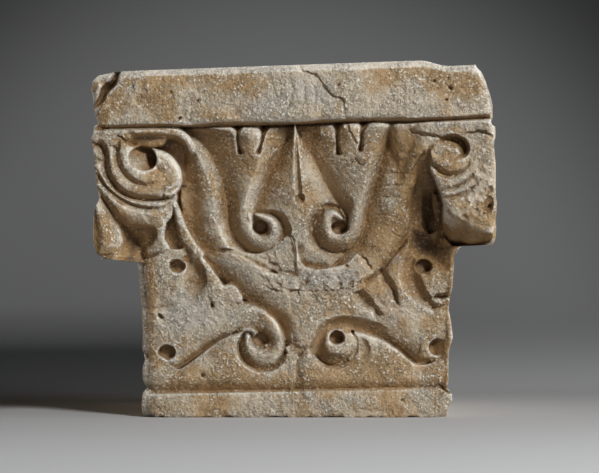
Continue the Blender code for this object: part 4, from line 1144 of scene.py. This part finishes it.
# ---- materials ---------------------------------------------------------------------------------
class Nodes:
    """Short hand for building one node tree."""

    def __init__(self, tree):
        self.tree = tree

    def add(self, kind, inputs=None, **settings):
        """New node with settings and inputs; an input is a value or another node's socket."""
        node = self.tree.nodes.new("ShaderNode" + kind)
        for name, value in settings.items():
            setattr(node, name, value)
        for name, value in (inputs or {}).items():
            if isinstance(value, bpy.types.NodeSocket):
                self.tree.links.new(value, node.inputs[name])
            else:
                node.inputs[name].default_value = value
        return node

    def noise(self, vector, scale, detail=3.0, rough=0.5, distortion=0.0):
        """Fractal noise from 0 to 1."""
        return self.add("TexNoise", {"Vector": vector, "Scale": scale, "Detail": detail,
                                     "Roughness": rough, "Distortion": distortion}).outputs["Fac"]

    def step(self, value, low, high, to_low=0.0, to_high=1.0):
        """Eased rise from to_low to to_high while value goes from low to high."""
        node = self.add("MapRange", {"Value": value, "From Min": low, "From Max": high,
                                     "To Min": to_low, "To Max": to_high})
        node.interpolation_type = "SMOOTHSTEP"
        return node.outputs["Result"]

    def math(self, operation, *values):
        """One Math node over numbers or sockets."""
        node = self.add("Math", operation=operation)
        for socket, value in zip(node.inputs, values):
            if isinstance(value, bpy.types.NodeSocket):
                self.tree.links.new(value, socket)
            else:
                socket.default_value = value
        return node.outputs["Value"]

    def mix_value(self, factor, a, b):
        """a + (b - a) * factor, for plain numbers."""
        return self.math("ADD", self.math("MULTIPLY", self.math("SUBTRACT", b, a), factor), a)

    def mix(self, factor, a, b, blend="MIX"):
        """Colour a changed towards b by the factor, in that blend."""
        node = self.add("Mix", data_type="RGBA", blend_type=blend)
        sockets = {"Factor": node.inputs[0], "A": node.inputs[6], "B": node.inputs[7]}
        for name, value in (("Factor", factor), ("A", a), ("B", b)):
            if isinstance(value, bpy.types.NodeSocket):
                self.tree.links.new(value, sockets[name])
            else:
                sockets[name].default_value = value
        return node.outputs[2]


def new_group(name, inputs, outputs):
    """Empty shader node group with the named sockets, and its input and output nodes."""
    tree = bpy.data.node_groups.new(name, "ShaderNodeTree")
    for label, kind, value in inputs:
        socket = tree.interface.new_socket(label, in_out="INPUT", socket_type="NodeSocket" + kind)
        if value is not None:
            socket.default_value = value
    for label, kind in outputs:
        tree.interface.new_socket(label, in_out="OUTPUT", socket_type="NodeSocket" + kind)
    return tree, tree.nodes.new("NodeGroupInput"), tree.nodes.new("NodeGroupOutput")


def grain_group():
    """Sugary stone grain: a random tone for each crystal, bright glints, dark pits and their relief."""
    tree, given, out = new_group(
        "Stone grain",
        [("Vector", "Vector", None), ("Crystal size", "Float", 700.0), ("Pit size", "Float", 330.0)],
        [("Speckle", "Float"), ("Glints", "Float"), ("Pits", "Float"), ("Height", "Float")])
    n = Nodes(tree)
    where = given.outputs["Vector"]
    cells = n.add("TexVoronoi", {"Vector": where, "Scale": given.outputs["Crystal size"],
                                 "Randomness": 1.0})
    crystal = n.add("SeparateColor", {"Color": cells.outputs["Color"]}).outputs["Red"]
    patch = n.step(n.noise(where, 38.0, 6.0, 0.7), 0.42, 0.60, 0.3, 1.0)
    clumps = n.noise(where, 120.0, 4.0, 0.7)
    crumbs = n.noise(where, 400.0, 3.0, 0.75)
    speckle = n.math("MULTIPLY", n.math("SUBTRACT", crystal, 0.5), patch)
    flecks = n.math("ADD", crystal, n.math("MULTIPLY", n.math("SUBTRACT", patch, 0.7), 0.15))
    glints = n.step(flecks, 0.90, 0.96)
    holes = n.noise(where, given.outputs["Pit size"], 4.0, 0.7)
    pits = n.step(n.math("ADD", holes, n.math("MULTIPLY", clumps, 0.5)), 0.53, 0.45)
    height = n.math("ADD", n.math("MULTIPLY", speckle, 0.6), n.math("MULTIPLY", clumps, 2.0))
    height = n.math("ADD", height, n.math("MULTIPLY", n.math("MULTIPLY", crumbs, 2.6), patch))
    height = n.math("ADD", height, n.math("MULTIPLY", glints, 0.35))
    height = n.math("SUBTRACT", height, n.math("MULTIPLY", pits, 1.2))
    for name, socket in (("Speckle", speckle), ("Glints", glints), ("Pits", pits), ("Height", height)):
        tree.links.new(socket, out.inputs[name])
    return tree


def tone_group():
    """Broad and fine drifts of pale, warm and ashen stone, pushed one way or the other by the tint, which
    carries stains and painted shade.
    """
    tree, given, out = new_group(
        "Stone tone",
        [("Vector", "Vector", None), ("Tint", "Float", 0.0), ("Pale", "Color", (0.6, 0.5, 0.4, 1.0)),
         ("Warm", "Color", (0.5, 0.4, 0.3, 1.0)), ("Ash", "Color", (0.5, 0.45, 0.4, 1.0))],
        [("Colour", "Color")])
    n = Nodes(tree)
    where, stain_shade_tint = given.outputs["Vector"], given.outputs["Tint"]
    broad = n.math("ADD", n.noise(where, 18.0, 6.0, 0.68, 0.8), n.math("MULTIPLY", stain_shade_tint, 0.16))
    warm = n.step(broad, 0.42, 0.60)
    colour = n.mix(warm, given.outputs["Pale"], given.outputs["Warm"])
    greyer = n.math("SUBTRACT", n.noise(where, 26.0, 6.0, 0.7, 0.5), n.math("MULTIPLY", stain_shade_tint, 0.16))
    ash = n.step(greyer, 0.50, 0.72, 0.0, 0.85)
    colour = n.mix(ash, colour, given.outputs["Ash"])
    tree.links.new(colour, out.inputs["Colour"])
    return tree


def patina_group():
    """Brown patina that settles in hollows, painted shade that darkens the deepest hollows further, and
    pale rubbed edges that also paint highlights. The hollow and worn inputs are in millimetres.
    """
    tree, given, out = new_group(
        "Patina",
        [("Vector", "Vector", None), ("Colour", "Color", None), ("Hollow and shade", "Float", 0.0),
         ("Worn and highlight", "Float", 0.0), ("Patina", "Color", (0.2, 0.1, 0.05, 1.0)),
         ("Recess shade", "Color", (0.05, 0.03, 0.02, 1.0)), ("Rubbed and highlight", "Color", (0.7, 0.65, 0.6, 1.0))],
        [("Colour", "Color")])
    n = Nodes(tree)
    where = given.outputs["Vector"]
    uneven = n.math("MULTIPLY", n.math("SUBTRACT", n.noise(where, 60.0, 6.0, 0.7), 0.5), 4.0)
    depth = n.step(n.math("ADD", given.outputs["Hollow and shade"], uneven), -0.2, 4.4, 0.0, 0.92)
    colour = n.mix(depth, given.outputs["Colour"], given.outputs["Patina"])
    # Painted shade: the deepest hollows are darkened towards the recess shade colour, where shade falls.
    colour = n.mix(n.step(given.outputs["Hollow and shade"], 5.0, 13.0, 0.0, 0.75), colour, given.outputs["Recess shade"])
    patchy = n.math("MULTIPLY", n.math("SUBTRACT", n.noise(where, 110.0, 6.0, 0.75), 0.5), 3.0)
    rub_and_highlight = n.step(n.math("ADD", given.outputs["Worn and highlight"], patchy), 0.2, 1.15, 0.0, 0.75)
    # No rubbing, and so no painted highlight, in the hollows.
    rub_and_highlight = n.math("MULTIPLY", rub_and_highlight, n.step(given.outputs["Hollow and shade"], 0.6, 2.6, 1.0, 0.0))
    colour = n.mix(rub_and_highlight, colour, given.outputs["Rubbed and highlight"])
    tree.links.new(colour, out.inputs["Colour"])
    return tree


def stone_material(look):
    """Alabaster: tone drifts, patina by hollow and worn, then crystals and pits, with their bump."""
    material = bpy.data.materials.new("Weathered alabaster")
    material.use_nodes = True
    n = Nodes(material.node_tree)
    shader = material.node_tree.nodes["Principled BSDF"]
    where = n.add("TexCoord").outputs["Object"]
    hollow, worn_and_highlight, stain_shade_tint = (n.add("Attribute", attribute_name=name).outputs["Fac"] for name in SHADES)
    tone = n.add("Group", node_tree=tone_group())
    grain = n.add("Group", node_tree=grain_group())
    patina = n.add("Group", node_tree=patina_group())
    for group, name, socket in (
            (tone, "Vector", where), (tone, "Tint", stain_shade_tint), (grain, "Vector", where),
            (patina, "Vector", where), (patina, "Colour", tone.outputs["Colour"]),
            (patina, "Hollow and shade", hollow), (patina, "Worn and highlight", worn_and_highlight)):
        n.tree.links.new(socket, group.inputs[name])
    for group, name, colour in (
            (tone, "Pale", look.pale), (tone, "Warm", look.warm), (tone, "Ash", look.ash),
            (patina, "Patina", look.patina), (patina, "Recess shade", look.pit), (patina, "Rubbed and highlight", look.rubbed_and_highlight)):
        group.inputs[name].default_value = (*colour, 1.0)
    speckle = n.step(grain.outputs["Speckle"], -0.5, 0.5, 0.66, 1.30)
    colour = n.mix(1.0, patina.outputs["Colour"], speckle, "MULTIPLY")
    # Painted highlight: bright crystal glints mixed into the colour, fewer in the hollows.
    colour = n.mix(n.math("MULTIPLY", grain.outputs["Glints"], n.step(hollow, 0.5, 4.0, 0.7, 0.2)),
                   colour, (*look.glint, 1.0))
    colour = n.mix(n.math("MULTIPLY", grain.outputs["Pits"], 0.62), colour, (*look.pit, 1.0))
    n.tree.links.new(colour, shader.inputs["Base Color"])
    rough = n.step(grain.outputs["Glints"], 0.0, 1.0, look.roughness, look.roughness - 0.2)
    n.tree.links.new(rough, shader.inputs["Roughness"])
    height = n.math("MULTIPLY", grain.outputs["Height"], n.step(hollow, 0.0, 5.0, 1.0, 0.4))
    bump = n.add("Bump", {"Strength": 1.0, "Distance": 0.0015, "Height": height})
    n.tree.links.new(bump.outputs["Normal"], shader.inputs["Normal"])
    return material


def paper_material(look):
    """Pale paper with painted light: its tone falls off up the sweep and beyond the camera as painted
    falloff, and is lifted round a soft painted pool of light on the backdrop. Its back and its shadow are
    clear, so that it hides and shades nothing behind it."""
    material = bpy.data.materials.new("Graded paper")
    material.use_nodes = True
    n = Nodes(material.node_tree)
    shader = material.node_tree.nodes["Principled BSDF"]
    where = n.add("TexCoord").outputs["Object"]
    place = n.add("SeparateXYZ", {"Vector": where}).outputs
    along = n.math("ADD", place["Y"], place["Z"])
    # Painted falloff: darker up the sweep and behind the camera, as if the light fell off there.
    tone = n.math("MULTIPLY", n.step(along, -0.6, 0.4, 1.0, 0.65), n.step(along, 0.33, 0.66, 1.0, 0.45))
    tone = n.math("MULTIPLY", tone, n.step(along, -1.6, -0.8, 0.3, 1.0))
    # Painted pool of light on the backdrop.
    away = n.math("SQRT", n.math("ADD", n.math("POWER", n.math("ADD", place["X"], 0.05), 2.0),
                                 n.math("POWER", place["Z"], 2.0)))
    painted_glow = n.step(away, 0.3, 0.62, 1.1, 0.1)
    tone = n.math("MULTIPLY", tone, n.mix_value(n.step(along, 0.45, 0.8), 1.0, painted_glow))
    colour = n.mix(1.0, (*look.floor, 1.0), tone, "MULTIPLY")
    n.tree.links.new(colour, shader.inputs["Base Color"])
    shader.inputs["Roughness"].default_value = 0.9
    clear = n.add("BsdfTransparent").outputs["BSDF"]
    behind = n.add("NewGeometry").outputs["Backfacing"]
    shadow = n.add("LightPath").outputs["Is Shadow Ray"]
    sides = n.add("MixShader", {0: n.math("MAXIMUM", behind, shadow), 1: shader.outputs["BSDF"], 2: clear})
    sides = sides.outputs["Shader"]
    n.tree.links.new(sides, material.node_tree.nodes["Material Output"].inputs["Surface"])
    return material


# ---- add-on ------------------------------------------------------------------------------------
class CapitalSizes(bpy.types.PropertyGroup):
    """How finely the faces are worked out"""
    front_cell: FloatProperty(name="Front cell", description="Grid step on the best face, mm", default=0.7)
    side_cell: FloatProperty(name="Side cell", description="Grid step across the other faces, mm",
                             default=1.5)
    triangles: IntProperty(name="Triangles", description="Triangles kept in the finished piece",
                           default=190000)


def colour_property(name, words, default):
    """Colour in linear light, with its name and description."""
    return FloatVectorProperty(name=name, description=words, default=default, size=3,
                               subtype="COLOR", min=0.0, max=1.0)


class StoneLook(bpy.types.PropertyGroup):
    """Colours and sheen of the stone"""
    pale: colour_property("Pale", "Clean stone", (0.56, 0.467, 0.34))
    warm: colour_property("Warm", "Warm drifts in the stone", (0.445, 0.289, 0.141))
    ash: colour_property("Ash", "Grey drifts in the stone", (0.52, 0.468, 0.392))
    patina: colour_property("Patina", "Brown skin in the hollows", (0.29, 0.165, 0.062))
    # Rubbed is worn bare stone, painted pale also as a highlight on edges.
    rubbed_and_highlight: colour_property("Rubbed and highlight", "Bare stone on worn edges", (0.90, 0.83, 0.71))
    # Glint paints highlights on bright crystals; Pit colours the grain's pits and also paints shade in the
    # deepest hollows.
    glint: colour_property("Glint", "Bright crystals", (0.95, 0.90, 0.80))
    pit: colour_property("Pit", "Dirt in the pits", (0.07, 0.04, 0.02))
    roughness: FloatProperty(name="Roughness", description="Sheen of the stone", default=0.5,
                             min=0.0, max=1.0, subtype="FACTOR")


class StudioLook(bpy.types.PropertyGroup):
    """Paper and lights"""
    floor: colour_property("Floor", "Paper in front of the block", (0.67, 0.67, 0.67))
    key_power: FloatProperty(name="Key", description="Power of the key light", default=49.5, unit="POWER")
    side_power: FloatProperty(name="Side", description="Power of the cooler light from the right",
                              default=22.0, unit="POWER")
    back_power: FloatProperty(name="Back", description="Power of each light behind the block",
                              default=42.0, unit="POWER")


class CARVING_OT_capital(bpy.types.Operator):
    """Carve the capital, give it its stone and put it in place of the plain solid"""
    bl_idname = "carving.capital"
    bl_label = "Carve the capital"

    def execute(self, context):
        sizes = context.scene.capital_sizes
        front_cell, side_cell = sizes.front_cell, sizes.side_cell
        mesh = make_mesh("capital", *build_block(front_cell, side_cell))
        piece = bpy.data.objects.new("capital", mesh)
        context.scene.collection.objects.link(piece)
        thin_out(piece, sizes.triangles)
        piece.data.shade_smooth()
        piece.data.materials.append(stone_material(context.scene.stone_look))
        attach(piece, "root")
        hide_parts(NODE)
        return {"FINISHED"}


class CARVING_OT_studio(bpy.types.Operator):
    """Set a plain floor with a curved backdrop, soft lights and the camera"""
    bl_idname = "carving.studio"
    bl_label = "Set up the studio"

    def execute(self, context):
        look = context.scene.studio_look
        floor = make_floor(look)
        context.scene.collection.objects.link(floor)
        add_light("Key", (30.0, 31.0), 0.5, look.key_power)
        add_light("Side", (76.0, 7.0), WIDE_LIGHT, look.side_power, COOL)
        for name, azimuth in (("Back left", 240.0), ("Back right", 150.0)):
            light = add_light(name, (azimuth, 28.0), WIDE_LIGHT, look.back_power)
            light.light_linking.receiver_collection = stone_only()
        add_camera()
        world = bpy.data.worlds.new("Studio")
        world.use_nodes = True
        world.node_tree.nodes["Background"].inputs["Color"].default_value = (0.5, 0.5, 0.5, 1.0)
        world.node_tree.nodes["Background"].inputs["Strength"].default_value = ROOM_LIGHT
        context.scene.world = world
        context.scene.view_settings.view_transform = "Standard"
        return {"FINISHED"}


LIGHT_DISTANCE = 2.6      # m from the middle of the block to each light
WIDE_LIGHT = 1.2          # m, side of the softer lights
COOL = (0.86, 0.93, 1.0)
ROOM_LIGHT = 0.018        # strength of the even grey light of the room
CAMERA_DISTANCE = 2.5     # m from the lens to the front of the volutes
LENS = 187.8              # mm, on a sensor 36 mm wide


def make_floor(look):
    """Floor strip that curves up into a backdrop: depth y and height z follow a quarter circle. A
    flat sheet 1 mm lower carries the floor on behind it."""
    radius, start, high, half = 0.8, 0.28, 3.0, 5.0
    angle = np.linspace(0.0, math.pi / 2, 40)
    y = np.concatenate([[-4.0], start + radius * np.sin(angle), [start + radius]])
    z = np.concatenate([[0.0], radius * (1.0 - np.cos(angle)), [high]])
    x = np.array([-half, half])
    places = np.stack([np.tile(x, len(y)), np.repeat(y, 2), np.repeat(z, 2)], -1)
    k = 2 * np.arange(len(y) - 1)
    quads = np.stack([k, k + 1, k + 3, k + 2], -1)
    back = [[-half, start, -0.001], [half, start, -0.001], [half, 5.0, -0.001], [-half, 5.0, -0.001]]
    quads = np.concatenate([quads, len(places) + np.arange(4)[None]])
    places = np.concatenate([places, back])
    mesh = bpy.data.meshes.new("floor")
    mesh.from_pydata(places.tolist(), [], quads.tolist())
    mesh.shade_smooth()
    mesh.materials.append(paper_material(look))
    return bpy.data.objects.new("floor", mesh)


def add_light(name, angles, size, power, colour=(1.0, 1.0, 1.0)):
    """Soft square light, azimuth to the right of the camera's side and elevation in degrees."""
    data = bpy.data.lights.new(name, "AREA")
    data.size = size
    data.energy = power
    data.color = colour
    light = bpy.data.objects.new(name, data)
    azimuth, elevation = (math.radians(a) for a in angles)
    way = Vector((math.sin(azimuth) * math.cos(elevation), -math.cos(azimuth) * math.cos(elevation),
                  math.sin(elevation)))
    light.location = Vector((0.0, 0.0, 0.15)) + way * LIGHT_DISTANCE
    light.rotation_euler = way.to_track_quat("Z", "Y").to_euler()
    bpy.context.scene.collection.objects.link(light)
    return light


def stone_only():
    """Collection of the carved pieces alone, for lights that leave the floor and backdrop dark."""
    group = bpy.data.collections.get("Stone") or bpy.data.collections.new("Stone")
    for piece in bpy.context.scene.objects:
        if piece.type == "MESH" and piece.name != "floor" and piece.name not in group.objects:
            group.objects.link(piece)
    return group


def add_camera():
    """Camera straight in front of the best face, at about half the block's height."""
    data = bpy.data.cameras.new("Camera")
    data.sensor_width = 36.0
    data.lens = LENS
    camera = bpy.data.objects.new("Camera", data)
    camera.location = (0.004, -0.158 - CAMERA_DISTANCE, 0.1468)
    camera.rotation_euler = (math.pi / 2, 0.0, 0.0)
    bpy.context.scene.collection.objects.link(camera)
    bpy.context.scene.camera = camera


class CARVING_PT_panel(bpy.types.Panel):
    """Sizes and steps of the capital"""
    bl_label = "Carved capital"
    bl_idname = "CARVING_PT_panel"
    bl_space_type = "VIEW_3D"
    bl_region_type = "UI"
    bl_category = "Capital"

    def draw(self, context):
        """Every size and colour, then the two steps."""
        scene = context.scene
        for group in (scene.capital_sizes, scene.stone_look, scene.studio_look):
            for name in type(group).__annotations__:
                self.layout.prop(group, name)
        self.layout.operator(CARVING_OT_capital.bl_idname)
        self.layout.operator(CARVING_OT_studio.bl_idname)


CLASSES = (CapitalSizes, StoneLook, StudioLook, CARVING_OT_capital, CARVING_OT_studio, CARVING_PT_panel)


def register():
    """Make the classes and their settings known."""
    for cls in CLASSES:
        bpy.utils.register_class(cls)
    bpy.types.Scene.capital_sizes = PointerProperty(type=CapitalSizes)
    bpy.types.Scene.stone_look = PointerProperty(type=StoneLook)
    bpy.types.Scene.studio_look = PointerProperty(type=StudioLook)


def unregister():
    """Take them away again."""
    del bpy.types.Scene.capital_sizes
    del bpy.types.Scene.stone_look
    del bpy.types.Scene.studio_look
    for cls in reversed(CLASSES):
        bpy.utils.unregister_class(cls)


def main():
    """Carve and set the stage."""
    register()
    bpy.ops.carving.capital()
    bpy.ops.carving.studio()


if __name__ == "__main__":
    main()
